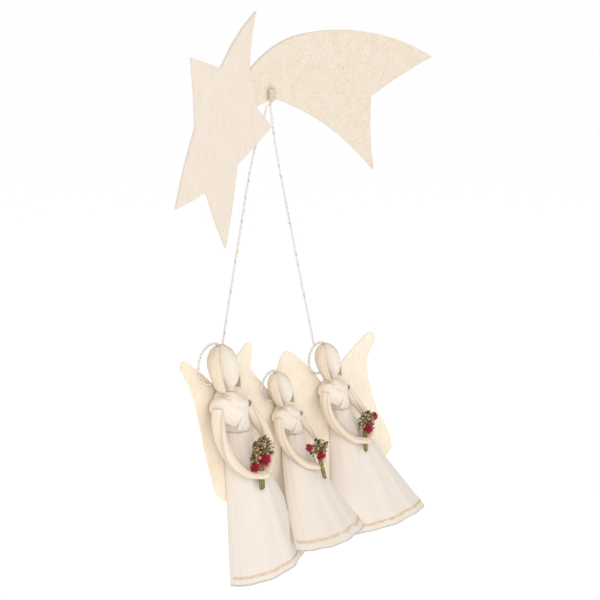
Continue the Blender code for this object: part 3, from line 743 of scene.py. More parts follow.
@dataclass
class Angel:
    """One faceless husk angel with its place, lean and reach."""

    name: str
    scale: float
    lean: float
    reach: float
    rest: float
    stems_out: float
    waist: tuple[float, float]
    back: float
    hem_centre: tuple[float, float]
    hem_back: float
    hem_half: float
    hem_depth: float
    hem_slant: float
    pressed: float
    small_rose: tuple[float, float, float]
    seed: int
    skirt_wall: float = 1.4
    flutes: int = 6
    flute_depth: float = 0.6
    waist_half: float = 11.0
    waist_depth: float = 17.0
    head_width: float = 23.5
    head_depth: float = 22.0
    neck: tuple[float, float] = (-15.2, 37.0)
    crown: tuple[float, float] = (-24.0, 75.0)
    upper_arm: float = 5.6
    wrist: float = 3.2
    halo_wire: float = 0.9
    halo_radius: float = 16.0
    hair_thickness: float = 1.3
    hair_spread: float = 118.0
    hair_fan: float = 2.8
    pale_side: float = math.radians(50.0)
    braid_foot: float = 4.7
    braid_height: float = 2.8
    teeth_share: float = 0.46
    chest_height: float = 27.0
    chest_reach: float = 6.0
    chest_breadth: float = 0.16
    chest_depth: float = 0.38
    near_spread: float = 0.34
    leaf_count: int = 60
    bud_count: int = 40
    stem_half: float = 0.72
    stem_tones: tuple = (0.55, 0.80, 0.30, 0.95, 0.65, 0.78, 1.0)
    fit_gap: float = 0.3
    head_shares: tuple = (0.0, 0.07, 0.17, 0.33, 0.52, 0.72, 0.88, 0.97, 1.0)
    head_sizes: tuple = (0.42, 0.40, 0.66, 0.91, 1.0, 0.94, 0.68, 0.32, 0.12)
    # The torso's rows are X, back, height, half width and depth. All other points are X, forward and up.
    torso: tuple = ((0.0, 0.0, 0.3, 11.0, 17.0), (-3.0, 0.0, 9.0, 11.6, 17.6),
                    (-6.5, 0.3, 19.0, 12.4, 18.2), (-9.5, 1.0, 27.0, 11.0, 16.5),
                    (-13.0, 3.0, 33.0, 7.5, 13.0), (-15.0, 5.0, 36.4, 4.8, 9.4))
    near_arm: tuple = ((-24.5, 9.5, 23.0), (-27.0, 10.5, 12.0), (-24.0, 12.0, -5.0), (-16.0, 16.0, -21.0),
                       (-4.5, 21.0, -32.0), (6.3, 23.3, -35.8))
    far_arm: tuple = ((7.0, 9.5, 19.0), (14.5, 11.5, 8.0), (21.5, 15.0, -4.0), (24.5, 19.0, -18.0),
                      (20.5, 22.3, -31.5), (13.6, 23.2, -35.4))
    near_band: tuple = ((-14.0, 7.0, 33.0), (-20.0, 8.0, 31.8), (-25.0, 11.0, 28.5), (-20.0, 16.5, 22.5),
                        (-10.0, 19.0, 13.0), (-1.0, 17.2, 3.0))
    far_band: tuple = ((-12.0, 7.0, 32.5), (-3.0, 8.0, 30.5), (5.5, 11.0, 25.5), (2.0, 16.5, 19.0),
                       (-4.0, 18.5, 10.0), (-8.0, 16.8, 2.5))
    band_widths: tuple = (3.2, 6.4, 8.2, 8.6, 7.4, 5.2)
    main_rose: tuple = (7.0, 28.5, -22.0)
    main_rose_radius: float = 5.4
    small_rose_radius: float = 4.2
    foliage_centre: tuple = (4.0, 25.2, -15.5)
    stem_top: tuple = (8.2, 22.5, -16.0)
    stem_foot: tuple = (9.9, 23.3, -48.0)

    def at(self, x: np.ndarray, forward: np.ndarray, up: np.ndarray,
           share: float | np.ndarray = 0.0) -> np.ndarray:
        """Place carved points.

        Args:
            x: Millimetres to the right of the waist's middle.
            forward: Millimetres from the waist's back.
            up: Millimetres above the waist.
            share: How far a point follows the hands' reach and rest.

        Returns:
            Places in metres, one row each.
        """
        x = np.asarray(x, float) - self.lean * np.maximum(up, 0.0) + self.reach * share
        forward = np.asarray(forward, float) + self.rest * share
        up = np.asarray(up, float)
        grown = self.scale
        return np.stack([self.waist[0] + x * grown, -self.back - forward * grown, self.waist[1] + up * grown],
                        axis=-1) * MM

    def point(self, x: float, forward: float, up: float, share: float = 0.0) -> Vector:
        """Place one carved point, given as for at, in metres."""
        return Vector(self.at(x, forward, up, share))

    def ridge(self, label: str) -> str:
        """Name a piece or a node of this angel by its label."""
        return f"{self.name}_angel_{label}"

    def head_frame(self, share: np.ndarray) -> tuple:
        """Measure the head.

        Args:
            share: Shares of its height, 0 at the neck and 1 at the crown.

        Returns:
            Its centre and half sizes there, in millimetres from the wall's origin.
        """
        low = self.point(self.neck[0], 0.0, self.neck[1]) / MM
        high = self.point(self.crown[0], 0.0, self.crown[1]) / MM
        x = low.x + (high.x - low.x) * share
        z = low.z + (high.z - low.z) * share + self.fit_gap
        shift = 2 * self.fit_gap + self.hair_thickness
        y = -self.back - shift - self.head_depth * self.scale / 2
        return x, y, z, self.head_width * self.scale / 2, self.head_depth * self.scale / 2

    def golden(self, turn: np.ndarray) -> np.ndarray:
        """Tell how golden the husk is round the head, most at the left and least at the right.

        Args:
            turn: Angle round the head, from its +X side by way of the front.

        Returns:
            Shares from 0 to 1.
        """
        return np.clip((0.55 - np.cos(turn - self.pale_side)) / 0.75, 0.0, 1.0)

    def halo_centre(self) -> Vector:
        """Middle of the halo, in metres."""
        x, _, z, _, _ = self.head_frame(np.array(0.52))
        return Vector((x - 1.5 * self.scale, -self.back - self.halo_wire, z - self.fit_gap + 0.5)) * MM

    def skirt_point(self, turn: np.ndarray, share: np.ndarray, inset: np.ndarray,
                    back: np.ndarray) -> np.ndarray:
        """Place points of the skirt.

        Args:
            turn: Angle round the front half, 0 at the right.
            share: 0 at the hem and 1 at the waist.
            inset: How far inside the outer face, in millimetres.
            back: 0 on the front, and the share from left to right on the flat back plus one.

        Returns:
            Places in metres.
        """
        open_share = 1.0 - share
        grown = self.scale
        waist_half = self.waist_half * grown
        waist_depth = self.waist_depth * grown
        half = waist_half + (self.hem_half - waist_half) * open_share ** 1.08 - inset
        depth = waist_depth + (self.hem_depth - waist_depth) * open_share - 2 * inset
        sweep = (self.hem_back - self.back) * open_share ** 1.7 + inset
        slant = self.hem_slant * open_share
        flute = self.flute_depth * (1.0 - 0.7 * share)
        ripple = flute * np.cos(2 * self.flutes * turn + 0.4) * np.sin(turn)
        pressed = 1.0 - self.pressed * open_share * np.maximum(np.cos(turn), 0.0)
        on_back = back > 0.0
        x = np.where(on_back, -half + 2 * half * (back - 1.0), (half + ripple) * np.cos(turn))
        front = sweep + (depth + ripple) * np.maximum(np.sin(turn), 0.0) ** 0.9 * pressed
        forward = np.where(on_back, sweep, front)
        wave = 0.55 * np.sin(5.0 * turn + self.seed) * np.sin(turn) * open_share ** 6
        centre = self.waist[0] + (self.hem_centre[0] - self.waist[0]) * open_share
        height = self.waist[1] + (self.hem_centre[1] - self.waist[1]) * open_share
        across = centre + x * np.cos(slant)
        tall = height + x * np.sin(slant) + wave
        return np.stack([across, -(self.back + forward), tall], axis=-1) * MM

    def build_skirt(self, finishes: Finishes) -> None:
        """Shape the hollow skirt with its overlapping husk panels, fine lines and open hem."""
        panels = 6

        def shape(round_share: np.ndarray, along: np.ndarray) -> tuple[np.ndarray, np.ndarray]:
            front = round_share <= 0.8
            turn = np.where(front, round_share / 0.8 * math.pi, 0.0)
            turn = np.where(round_share >= 1.0 - 1e-9, 0.0, turn)
            back = np.where(front, 0.0, 1.0 + (round_share - 0.8) / 0.2)
            outer = along <= 0.5
            share = np.where(outer, 1.0 - along * 2, (along - 0.5) * 2 * 0.985)
            lines = pleats(turn * 0.9 + 0.4, self.seed + 1.0)
            step = (turn / math.pi * panels + 0.35 * np.sin(self.seed + 2 * turn)) % 1.0
            lap = np.clip(1.0 - step * 9.0, 0.0, 1.0)
            gather = np.clip((share - 0.86) / 0.14, 0.0, 1.0) ** 2
            relief = (0.05 + 0.14 * gather) * lines + 0.14 * lap
            relief = np.where(front & outer, relief * np.clip(np.sin(turn) * 4, 0.0, 1.0), 0.0)
            inset = np.where(outer, relief, self.skirt_wall)
            # Painted shade in the pleat grooves, at the panels' laps, in the gathers and rim at the waist,
            # and on the inside and the flat back.
            shade_and_tint = np.where(front & outer, 0.035 * lines + 0.05 * lap + 0.12 * gather * lines
                              + 0.14 * np.clip((share - 0.985) / 0.015, 0, 1), 0.10)
            return self.skirt_point(turn, share, inset, back), shade_and_tint

        piece = sculpt(self.ridge("skirt_husk"), 300, 96, shape)
        install(piece, finishes.skirt, "skirt_husk", self.ridge("skirt"))

    def build_braid(self, finishes: Finishes) -> None:
        """Lay the zigzag braid round the front of the skirt, just above its hem."""
        drop = self.waist[1] - self.hem_centre[1]
        parts = []
        teeth = int(self.hem_half * self.teeth_share)
        for offset, tone in ((0.0, 0.1), (0.5, 0.4)):
            share = np.linspace(0.03, 0.97, teeth * 6 + 1)
            turn = share * math.pi
            zig = np.abs(((share * teeth + offset) % 1.0) * 2.0 - 1.0)
            height = (self.braid_foot + self.braid_height * zig) / drop
            inset = np.full_like(turn, -0.16) + 0.30 * (np.sin(share * teeth * math.pi + offset * 9.0) > 0.55)
            path = self.skirt_point(turn, height, inset, np.zeros_like(turn))
            route = Route([Vector(row) for row in path], Vector((0.0, 0.0, 1.0)))
            parts.append(strand("braid_thread", route, 0.02 * MM, 0.24 * MM, 1.0, 0.0, 5, teeth * 10, tone))
        piece = join(self.ridge("hem_braid_zigzag"), parts)
        install(piece, finishes.braid, "gold_braid", self.ridge("hem_braid"))

    def build_bodice(self, finishes: Finishes) -> None:
        """Shape the torso and the two broad husk bands that cross on the chest."""
        table = np.array(self.torso)

        def torso(round_share: np.ndarray, along: np.ndarray) -> tuple[np.ndarray, np.ndarray]:
            up = table[0, 2] + (table[-1, 2] - table[0, 2]) * along
            x, back, half, depth = (np.interp(up, table[:, 2], table[:, k]) for k in (0, 1, 3, 4))
            swell = np.exp(-((up - self.chest_height) / self.chest_reach) ** 2)
            half = half * (1.0 + self.chest_breadth * swell)
            depth = depth * (1.0 + self.chest_depth * swell)
            front = round_share <= 0.78
            turn = np.where(front, round_share / 0.78 * math.pi, 0.0)
            lines = pleats(turn * 0.9, self.seed + 4.0)
            pinch = np.exp(-((up - 1.2) / 1.6) ** 2)
            relief = np.where(front, (0.05 + 0.12 * pinch) * lines + 0.22 * pinch, 0.0)
            side = np.where(front, (half - relief) * np.cos(turn),
                            -half + 2 * half * (round_share - 0.78) / 0.22)
            forward = back + np.where(front, (depth - relief) * np.maximum(np.sin(turn), 0.0) ** 0.9, 0.0)
            # Painted shade in the pleats, at the pinched waist and towards the neck.
            shade_and_tint = 0.05 * lines + 0.14 * pinch + np.clip((up - 34.0) / 3.0, 0.0, 1.0) * 0.2
            return self.at(x + side, forward, up), shade_and_tint

        parts = [sculpt("torso", 160, 48, torso)]
        for path, label in ((self.far_band, 1), (self.near_band, 0)):
            parts.append(self.band(path, label))
        install(join(self.ridge("bodice_husk"), parts), finishes.bodice, "bodice_husk", self.ridge("bodice"))

    def band(self, path: tuple, label: int) -> bpy.types.Object:
        """Shape one shoulder band, broad and curved round the chest.

        Args:
            path: Carved points along its middle.
            label: 0 for the near band and 1 for the far one, which lies under it.

        Returns:
            The band.
        """
        points = smooth_points([self.point(*place) for place in path], 8)
        heart = self.point(-8.0, 8.0, 16.0)
        base = np.array([tuple(point) for point in points])
        along = np.gradient(base, axis=0)
        along /= np.linalg.norm(along, axis=1)[:, None]
        out = base - np.array(tuple(heart))
        out -= along * (out * along).sum(axis=1)[:, None]
        out /= np.linalg.norm(out, axis=1)[:, None]
        across = np.cross(along, out)
        shares = np.linspace(0.0, 1.0, len(points))
        knots = np.linspace(0.0, 1.0, len(self.band_widths))
        grown = self.scale * MM

        def shape(round_share: np.ndarray, along_share: np.ndarray) -> tuple[np.ndarray, np.ndarray]:
            turn = round_share * math.tau
            broad = 0.0 if label else self.near_spread
            width = np.interp(along_share, knots, self.band_widths)
            width = width * (1.0 + broad * np.sin(along_share * math.pi) ** 2)
            side = np.cos(turn)
            folds = 0.16 * np.cos(side * 9.0 + label) + 0.10 * pleats(side * 1.1, self.seed + label)
            lift = 1.05 * np.sin(turn) * np.sqrt(np.maximum(1.0 - 0.6 * side * side, 0.05))
            bend = -0.26 * width * side * side - 0.35 * label
            height = lift + bend - np.where(np.sin(turn) > 0, folds, 0.0)
            spots = [np.stack([np.interp(along_share, shares, t[:, k]) for k in range(3)], axis=1)
                     for t in (base, across, out)]
            place = spots[0] + (spots[1] * (width * side)[:, None] + spots[2] * height[:, None]) * grown
            # Painted shade on the band's underside, at its tucked ends and in its pleats.
            inside = np.clip(-np.sin(turn), 0.0, 1.0)
            ends = (np.clip((along_share - 0.93) / 0.07, 0.0, 1.0)
                    + np.clip((0.10 - along_share) / 0.10, 0.0, 1.0))
            shade_and_tint = 0.12 * inside + 0.08 * ends + 0.05 * pleats(side * 1.1, self.seed + label)
            return place, shade_and_tint

        return sculpt("band", 72, 90, shape)

    def build_head(self, finishes: Finishes) -> None:
        """Shape the plain egg of husk, pleated from crown to neck, with no face."""
        def shape(round_share: np.ndarray, share: np.ndarray) -> tuple[np.ndarray, np.ndarray]:
            x, y, z, half_x, half_y = self.head_frame(share)
            size = np.interp(share, self.head_shares, self.head_sizes)
            turn = round_share * math.tau
            lines = pleats(turn, self.seed + 0.7)
            strands = 0.6 * np.abs(np.sin(turn * 17.0 + 1.2 * np.sin(3 * turn + self.seed) + 1.4 * share))
            strands += 0.4 * np.abs(np.sin(turn * 37.0 + 0.8 * np.sin(5 * turn + self.seed)))
            golden = self.golden(turn)
            ends = np.clip(np.abs(share - 0.5) * 2.6 - 0.5, 0.0, 1.0)
            size = size * (1.0 - (0.006 + 0.04 * ends) * lines - 0.010 * (1.0 - strands))
            around = (x + half_x * size * np.cos(turn), y - half_y * size * np.sin(turn), z)
            places = np.stack(around, axis=1) * MM
            # Painted shade in the pleats, the strand grooves and the crevice at the neck, with the husk's own
            # golden tint towards the back left.
            neck = np.clip((0.13 - share) / 0.08, 0.0, 1.0)
            shade = (0.05 + 0.16 * ends) * lines + (1.0 - strands) * (0.12 + 0.30 * golden) + 0.12 * golden
            return places, shade + 0.2 * neck

        piece = sculpt(self.ridge("head_husk"), 320, 72, shape)
        smooth = piece.modifiers.new("soften", "SMOOTH")
        smooth.factor = 0.5
        smooth.iterations = 2
        bpy.ops.object.modifier_apply(modifier=smooth.name)
        install(piece, finishes.head, "head_husk", self.ridge("head"))

    def build_hair(self, finishes: Finishes) -> None:
        """Shape the fan of husk strands over the back and sides of the head, down to the shoulders."""
        def shape(round_share: np.ndarray, along: np.ndarray) -> tuple[np.ndarray, np.ndarray]:
            share = along * 0.985
            x, y, z, half_x, half_y = self.head_frame(share)
            low = 0.80 + 0.46 * np.minimum(share, 0.34)
            plain = np.interp(share, self.head_shares, self.head_sizes)
            size = np.where(share < 0.5, np.maximum(plain, low), plain) + 0.012
            outside = round_share < 0.5
            sweep = np.where(outside, round_share * 2, 2 - round_share * 2)
            middle = -math.pi / 2
            turn = middle + math.radians(self.hair_spread) * (sweep * 2 - 1)
            edge = np.clip((1.0 - np.abs(sweep * 2 - 1)) / 0.22, 0.0, 1.0)
            waves = turn * 15.0 + 1.1 * np.sin(4 * turn + self.seed) + 1.6 * share
            fine = turn * 41.0 + 0.9 * np.sin(7 * turn + self.seed) + 2.0 * share
            lines = 0.62 * np.abs(np.sin(waves)) ** 0.7 + 0.38 * np.abs(np.sin(fine)) ** 0.8
            fan = np.clip(-np.cos(turn), 0.0, 1.0) * np.sin(np.clip(share * 1.15, 0.0, 1.0) * math.pi) ** 0.8
            thick = (0.10 + 0.90 * edge) * self.hair_thickness * (0.45 + 0.55 * lines)
            offset = np.where(outside, self.fit_gap * 0.6 + thick, self.fit_gap * 0.5)
            wide = np.where(outside, self.hair_fan * fan * edge, 0.0)
            places = np.stack([x + (half_x * size + offset + wide) * np.cos(turn),
                               y - (half_y * size + offset) * np.sin(turn), z], axis=1) * MM
            # Painted shade between the strands and on the inside, with the husk's golden tint towards the
            # back left.
            golden = self.golden(turn)
            shade = (1.0 - lines) * (0.14 + 0.30 * golden) + 0.05 * golden
            return places, np.where(outside, shade, 0.2)

        piece = sculpt(self.ridge("hair_husk"), 320, 72, shape)
        install(piece, finishes.hair, "hair_husk", self.ridge("hair"))

    def build_halo(self, finishes: Finishes) -> None:
        """Twist the halo's silver ring."""
        centre = self.halo_centre()
        ring = [centre + Vector((math.cos(k / 96 * math.tau), 0.0, math.sin(k / 96 * math.tau)))
                * self.halo_radius * self.scale * MM for k in range(97)]
        route = Route(ring, Vector((0.0, -1.0, 0.0)))
        parts = [strand("halo_ply", route, 0.50 * MM, 0.60 * MM, 20.0, ply * math.pi, 7, 300, 0.0)
                 for ply in range(2)]
        speckle(parts[0], self.seed + 20)
        install(join(self.ridge("halo_twist"), parts), finishes.cord, "halo_cord", self.ridge("halo"))

    def build_arm(self, finishes: Finishes, label: str, path: tuple, hand: tuple) -> None:
        """Shape one sleeve of twisted husk strips, with an open top and a closed hand.

        Args:
            finishes: The finishes.
            label: Node's name without the angel's.
            path: Carved points along the sleeve.
            hand: Carved points by which the hand goes on past the sleeve's end.
        """
        shares = (0.0, 0.0, 0.14, 0.60, 0.86, 1.0)
        carved = [self.point(*place, share) for place, share in zip(path, shares)]
        carved += [self.point(*place, 1.0) for place in hand]
        route = Route(smooth_points(carved, 10), Vector((-0.5, -0.8, 0.3)).normalized())
        grown = self.scale * MM

        def shape(round_share: np.ndarray, along: np.ndarray) -> tuple[np.ndarray, np.ndarray]:
            lip = along < 0.06
            go = np.where(lip, 0.07 - along * 0.8, (along - 0.06) / 0.94)
            go = np.where(lip, np.maximum(go, 0.0) * 0.9, go)
            turn = round_share * math.tau
            wind = turn * 3 + 8.0 * along + 0.7 * np.sin(2 * turn + self.seed)
            groove = np.clip(np.cos(wind), 0.0, 1.0) ** 8
            groove += 0.35 * np.clip(np.cos(wind * 2.0 + 1.4), 0.0, 1.0) ** 8
            radius = self.upper_arm + (self.wrist - self.upper_arm) * go ** 0.8
            radius = radius * (1.0 + 0.09 * np.sin(math.pi * np.clip(go * 1.6, 0.0, 1.0)))
            radius = radius * np.clip((1.0 - go) / 0.035 + 0.15, 0.15, 1.0) ** 0.5
            radius = np.where(lip, radius * (0.70 + 3.5 * along), radius * (1.0 - 0.085 * groove))
            flat = 1.0 - 0.25 * np.clip((go - 0.75) / 0.25, 0.0, 1.0)
            place = route.place(go, radius * np.cos(turn) * grown, radius * flat * np.sin(turn) * grown)
            # Painted shade in the grooves between the strips and inside the open top; the hand's end is
            # darker too.
            shade_and_tint = np.where(lip, 0.4 - along * 5, 0.40 * groove + 0.15 * np.clip((go - 0.95) / 0.05, 0, 1))
            return place, shade_and_tint

        install(sculpt(self.ridge(label + "_husk"), 96, 150, shape), finishes.sleeve, "sleeve_husk",
                self.ridge(label))

    def build_rose(self, finishes: Finishes, label: str, centre: Vector, radius: float, seed: int) -> None:
        """Fold one dried rosebud from a core and rings of curled petals.

        Args:
            finishes: The finishes.
            label: Node's name without the angel's.
            centre: Middle of the rose, in metres.
            radius: Its radius, in metres.
            seed: Seed of its small differences.
        """
        chance = random.Random(seed)
        face = Vector((-0.45, -0.85, 0.28)).normalized()
        right = face.cross(Vector((0.0, 0.0, 1.0))).normalized()
        top = right.cross(face)
        axes = np.array([tuple(right), tuple(top), tuple(face)])
        middle = np.array(tuple(centre))
        parts = []
        for ring, (count, reach, height, tilt) in enumerate(((3, 0.26, 0.62, 0.18), (4, 0.48, 0.42, 0.36),
                                                             (5, 0.70, 0.16, 0.58), (6, 0.86, -0.14, 0.80))):
            for petal in range(count):
                heading = (petal / count + 0.17 * ring + 0.22 * chance.random()) * math.tau
                curl = 0.8 + 0.4 * chance.random()
                crumple = chance.random() * 6.0

                def shape(u: np.ndarray, v: np.ndarray, reach: float = reach, height: float = height,
                          tilt: float = tilt, heading: float = heading, curl: float = curl,
                          crumple: float = crumple, count: int = count) -> tuple[np.ndarray, np.ndarray]:
                    fold = 0.35 + 0.65 * np.sin(np.minimum(v + 0.25, 1) * 1.57)
                    sweep = (u - 0.5) * (math.tau / count) * 1.45 * fold
                    lift = height - 0.75 + v * 0.95
                    out = reach * (0.55 + 0.45 * v ** 0.6) + tilt * 0.22 * curl * v ** 3
                    out = out + (0.07 * np.sin(9 * u + crumple) - 0.10 * curl * u) * v
                    edge = v - 0.10 * (2 * u - 1) ** 2 * v
                    lift = lift - (v - edge) * 1.1
                    a = heading + sweep
                    local = np.stack([out * np.cos(a), out * np.sin(a), lift], axis=1) * radius
                    # Painted shade towards the petals' bases, deep in the rose, and darker petal edges.
                    shade_and_tint = 0.85 * (1 - v) ** 1.3 + 0.45 * np.clip((v - 0.90) / 0.10, 0, 1)
                    return middle + local @ axes, shade_and_tint

                # Petals of the inner rings get a darker tone, painted shade deep in the rose, and each petal
                # a random share of tone.
                tone = min(1.0, 0.25 + 0.16 * ring + 0.35 * chance.random())
                parts.append(sculpt("petal", 10, 8, shape, wraps=False, tone=tone, wall=0.22 * MM))

        def core(u: np.ndarray, v: np.ndarray) -> tuple[np.ndarray, np.ndarray]:
            size = 0.62 * np.sin(np.clip(v, 0.03, 0.97) * math.pi) ** 0.7
            size = size * (1.0 + 0.10 * np.sin(3 * u * math.tau + 9 * v))
            turn = u * math.tau
            local = np.stack([size * np.cos(turn), size * np.sin(turn), v * 1.5 - 1.0], axis=1)
            return middle + (local * radius) @ axes, np.full_like(u, 0.55)

        # The core gets painted shade and a dark tone, deep in the rose.
        parts.append(sculpt("rose_core", 18, 14, core, tone=0.25))
        install(join(self.ridge(label + "_petals"), parts), finishes.rose, "rose_petals", self.ridge(label))

    def build_greenery(self, finishes: Finishes) -> None:
        """Gather the dried leaves, stems and small blossoms of the bouquet."""
        chance = random.Random(31 + self.seed)
        grown = self.scale * MM
        centre = self.point(*self.foliage_centre, 1.0)
        leaves = []
        for leaf in range(self.leaf_count):
            angle = math.radians(-25.0 + 235.0 * (leaf + chance.random()) / self.leaf_count)
            reach = 1.0 + 11.5 * chance.random()
            root = centre + Vector((math.cos(angle) * reach * 0.9, -2.0 * chance.random(),
                                    math.sin(angle) * reach * 0.85)) * grown
            heading = Vector((math.cos(angle) + 0.7 * (chance.random() - 0.5), -0.5 - 0.5 * chance.random(),
                              math.sin(angle) + 0.7 * (chance.random() - 0.5))).normalized()
            leaves.append(self.leaf(root, heading, (3.0 + 2.8 * chance.random()) * grown,
                                    0.95 + 0.6 * chance.random(), min(1.0, 0.08 + 0.80 * chance.random())))
        top = self.point(*self.stem_top, 1.0)
        foot = self.point(*self.stem_foot, 1.0) - Vector((0.0, self.stems_out * grown, 0.0))
        for stem, tone in enumerate(self.stem_tones):
            turn = stem / len(self.stem_tones) * math.tau
            ring = Vector((math.cos(turn), 0.75 * math.sin(turn), 0.0)) * 1.45 * grown
            spread = 1.0 + 0.35 * chance.random()
            end = foot + ring * spread + Vector((0.0, 0.0, (chance.random() - 0.5) * 2.4 * grown))
            path = [top + ring * 0.8, (top + end) / 2 + ring * 0.75, end]
            route = Route(smooth_points(path, 6), Vector((0.0, -1.0, 0.0)))
            leaves.append(strand("stem", route, 0.0, self.stem_half * grown, 0.0, 0.0, 7, 14, tone))
        piece = join(self.ridge("greenery_leaves"), leaves)
        install(piece, finishes.leaf, "dried_greenery", self.ridge("greenery"))
        buds = []
        for bud in range(self.bud_count):
            angle = math.radians(-50.0 + 280.0 * (bud + chance.random()) / self.bud_count)
            reach = 5.0 + 8.0 * chance.random()
            place = centre + Vector((math.cos(angle) * reach, -3.0 - 3.5 * chance.random(),
                                     math.sin(angle) * reach * 0.92)) * grown
            buds.append(self.blossom(place, (0.62 + 0.75 * chance.random() ** 2) * grown, chance.random()))
        piece = join(self.ridge("greenery_blossoms"), buds)
        install(piece, finishes.bud, "dried_greenery")

    def leaf(self, root: Vector, heading: Vector, length: float, width: float,
             tone: float) -> bpy.types.Object:
        """Shape one small dried leaf.

        Args:
            root: Where it starts, in metres.
            heading: Its direction.
            length: Its length, in metres.
            width: Its width against the usual one.
            tone: Its tone.

        Returns:
            The leaf.
        """
        side = heading.cross(Vector((-0.62, -0.74, 0.25))).normalized()
        up = side.cross(heading)
        axes = [np.array(tuple(axis)) for axis in (root, heading, side, up)]

        def shape(u: np.ndarray, v: np.ndarray) -> tuple[np.ndarray, np.ndarray]:
            half = 0.26 * width * np.sin(np.clip(v, 0.02, 0.985) * math.pi) ** 0.8
            across = (u - 0.5) * 2 * half
            lift = 0.5 * np.abs(across) + 0.16 * np.sin(v * 4.0)
            laid = v[:, None] * axes[1] + across[:, None] * axes[2] + lift[:, None] * axes[3]
            # Painted shade towards the leaf's base and in the fold along its middle.
            return axes[0] + laid * length, 0.5 * (1 - v) + 0.3 * np.exp(-(((u - 0.5) / 0.08) ** 2))

        return sculpt("leaf", 4, 6, shape, wraps=False, tone=tone, wall=0.14 * MM)

    def blossom(self, centre: Vector, radius: float, tone: float) -> bpy.types.Object:
        """Shape one small lobed blossom.

        Args:
            centre: Its middle, in metres.
            radius: Its radius, in metres.
            tone: Its tone.

        Returns:
            The blossom.
        """
        middle = np.array(tuple(centre))

        def shape(u: np.ndarray, v: np.ndarray) -> tuple[np.ndarray, np.ndarray]:
            size = np.sin(np.clip(v, 0.04, 0.96) * math.pi)
            lobes = 1.0 + 0.18 * np.cos(5 * u * math.tau)
            place = np.stack([size * lobes * np.cos(u * math.tau), size * lobes * np.sin(u * math.tau),
                              -np.cos(v * math.pi)], axis=1)
            # Painted shade in the grooves between the lobes.
            return middle + place * radius, 0.5 - 0.5 * np.cos(5 * u * math.tau)

        return sculpt("blossom", 10, 6, shape, tone=tone)

    def dress_wings(self, finishes: Finishes) -> None:
        """Give the wings their mottled husk."""
        for slot in bpy.data.objects[self.ridge("wings")].material_slots:
            slot.material = finishes.wing

    def build(self, finishes: Finishes) -> None:
        """Build every piece of the angel."""
        self.dress_wings(finishes)
        self.build_skirt(finishes)
        self.build_braid(finishes)
        self.build_bodice(finishes)
        self.build_head(finishes)
        self.build_hair(finishes)
        self.build_halo(finishes)
        self.build_arm(finishes, "near_arm", self.near_arm, ((9.5, 27.0, -35.6), (13.0, 26.2, -34.4)))
        self.build_arm(finishes, "far_arm", self.far_arm, ((11.5, 25.6, -37.4),))
        self.build_rose(finishes, "rose_main", self.point(*self.main_rose, 1.0),
                        self.main_rose_radius * self.scale * MM, 3 + self.seed)
        self.build_rose(finishes, "rose_small", self.point(*self.small_rose, 1.0),
                        self.small_rose_radius * self.scale * MM, 11 + self.seed)
        self.build_greenery(finishes)


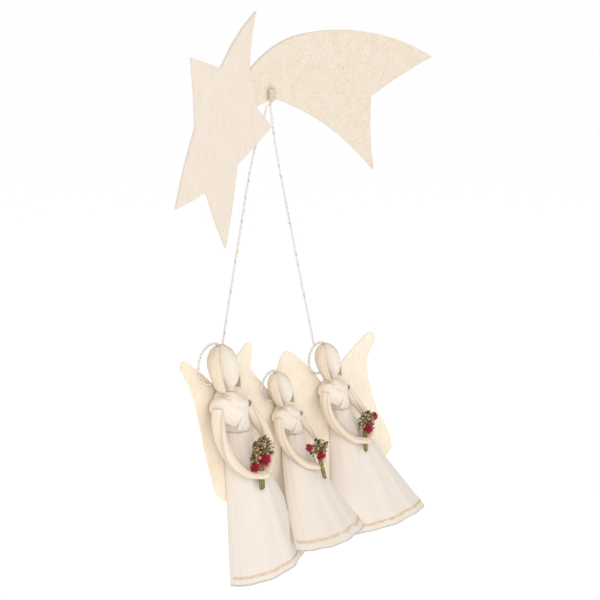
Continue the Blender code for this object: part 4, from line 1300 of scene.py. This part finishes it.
@dataclass
class Studio:
    """The camera at the photograph's angle, the pale floor and the soft lights."""

    target: tuple[float, float, float] = (0.0473, 0.0, -0.1936)
    azimuth: float = -50.0
    elevation: float = 15.0
    distance: float = 2.6
    lens: float = 195.0
    floor_height: float = -1.2
    floor_size: float = 60.0
    floor_tone: Colour = (0.9, 0.9, 0.9)
    floor_roughness: float = 0.9
    floor_glow: float = 0.42
    sensor: float = 36.0
    sky: float = 0.62
    # Each light is its name, place, power in watts and size.
    lights: tuple = (("key", (-1.9, -1.6, 1.4), 34.0, 1.2), ("fill", (1.4, -2.2, 0.5), 9.0, 1.8))

    def build_camera(self) -> None:
        """Place the camera."""
        a = math.radians(self.azimuth)
        e = math.radians(self.elevation)
        back = Vector((math.sin(a) * math.cos(e), -math.cos(a) * math.cos(e), math.sin(e)))
        bpy.ops.object.camera_add(location=Vector(self.target) + back * self.distance)
        camera = bpy.context.active_object
        camera.name = "camera"
        camera.rotation_euler = (-back).to_track_quat("-Z", "Y").to_euler()
        camera.data.lens = self.lens
        camera.data.sensor_width = self.sensor
        bpy.context.scene.camera = camera

    def build_floor(self) -> None:
        """Lay the pale floor."""
        deselect()
        bpy.ops.mesh.primitive_plane_add(size=self.floor_size, location=(0.0, 0.0, self.floor_height))
        floor = bpy.context.active_object
        floor.name = "floor"
        made, _, shader = start_material("pale_floor")
        shader.inputs["Base Color"].default_value = (*self.floor_tone, 1.0)
        shader.inputs["Roughness"].default_value = self.floor_roughness
        shader.inputs["Emission Color"].default_value = (1.0, 1.0, 1.0, 1.0)
        shader.inputs["Emission Strength"].default_value = self.floor_glow
        floor.data.materials.append(made)

    def build_lights(self) -> None:
        """Hang the soft lights and set the even sky."""
        world = bpy.data.worlds.new("studio")
        bpy.context.scene.world = world
        world.use_nodes = True
        sky = world.node_tree.nodes["Background"]
        sky.inputs["Color"].default_value = (1.0, 1.0, 1.0, 1.0)
        sky.inputs["Strength"].default_value = self.sky
        for name, place, power, size in self.lights:
            bpy.ops.object.light_add(type="AREA", location=place)
            light = bpy.context.active_object
            light.name = name
            light.data.energy = power
            light.data.size = size
            aim = Vector(self.target) - Vector(place)
            light.rotation_euler = aim.to_track_quat("-Z", "Y").to_euler()
        bpy.context.scene.view_settings.view_transform = "Standard"


ANGELS = (
    Angel("left", scale=1.0, lean=0.03, reach=0.0, rest=0.0, stems_out=0.0, waist=(-42.2, -278.1),
          back=4.5, hem_centre=(3.2, -400.9), hem_back=4.5, hem_half=48.0, hem_depth=26.0,
          hem_slant=math.radians(10.0), pressed=0.52, small_rose=(-3.6, 27.8, -26.0), seed=1),
    Angel("middle", scale=0.75, lean=0.14, reach=2.0, rest=8.6, stems_out=8.4, waist=(28.0, -297.5),
          back=4.5, hem_centre=(43.0, -383.0), hem_back=32.0, hem_half=38.5, hem_depth=22.0,
          hem_slant=math.radians(5.0), pressed=0.0, small_rose=(-12.5, 28.5, -9.0), seed=2),
    Angel("right", scale=0.8, lean=0.10, reach=10.0, rest=1.4, stems_out=0.0, waist=(88.0, -291.0),
          back=3.0, hem_centre=(142.0, -401.5), hem_back=3.0, hem_half=58.8, hem_depth=22.0,
          hem_slant=0.0, pressed=0.0, small_rose=(16.0, 29.0, -11.0), seed=3),
)


def main() -> None:
    """Build the studio and every piece of the hanging."""
    logging.basicConfig(level=logging.INFO, format="%(name)s %(message)s")
    studio = Studio()
    studio.build_camera()
    finishes = Finishes()
    angels = {angel.name: angel for angel in ANGELS}
    comet = Comet()
    comet.build_cords(finishes, angels)
    comet.build_knot(finishes)
    comet.dress_sheets(finishes)
    for angel in ANGELS:
        angel.build(finishes)
    studio.build_floor()
    studio.build_lights()


if __name__ == "__main__":
    main()
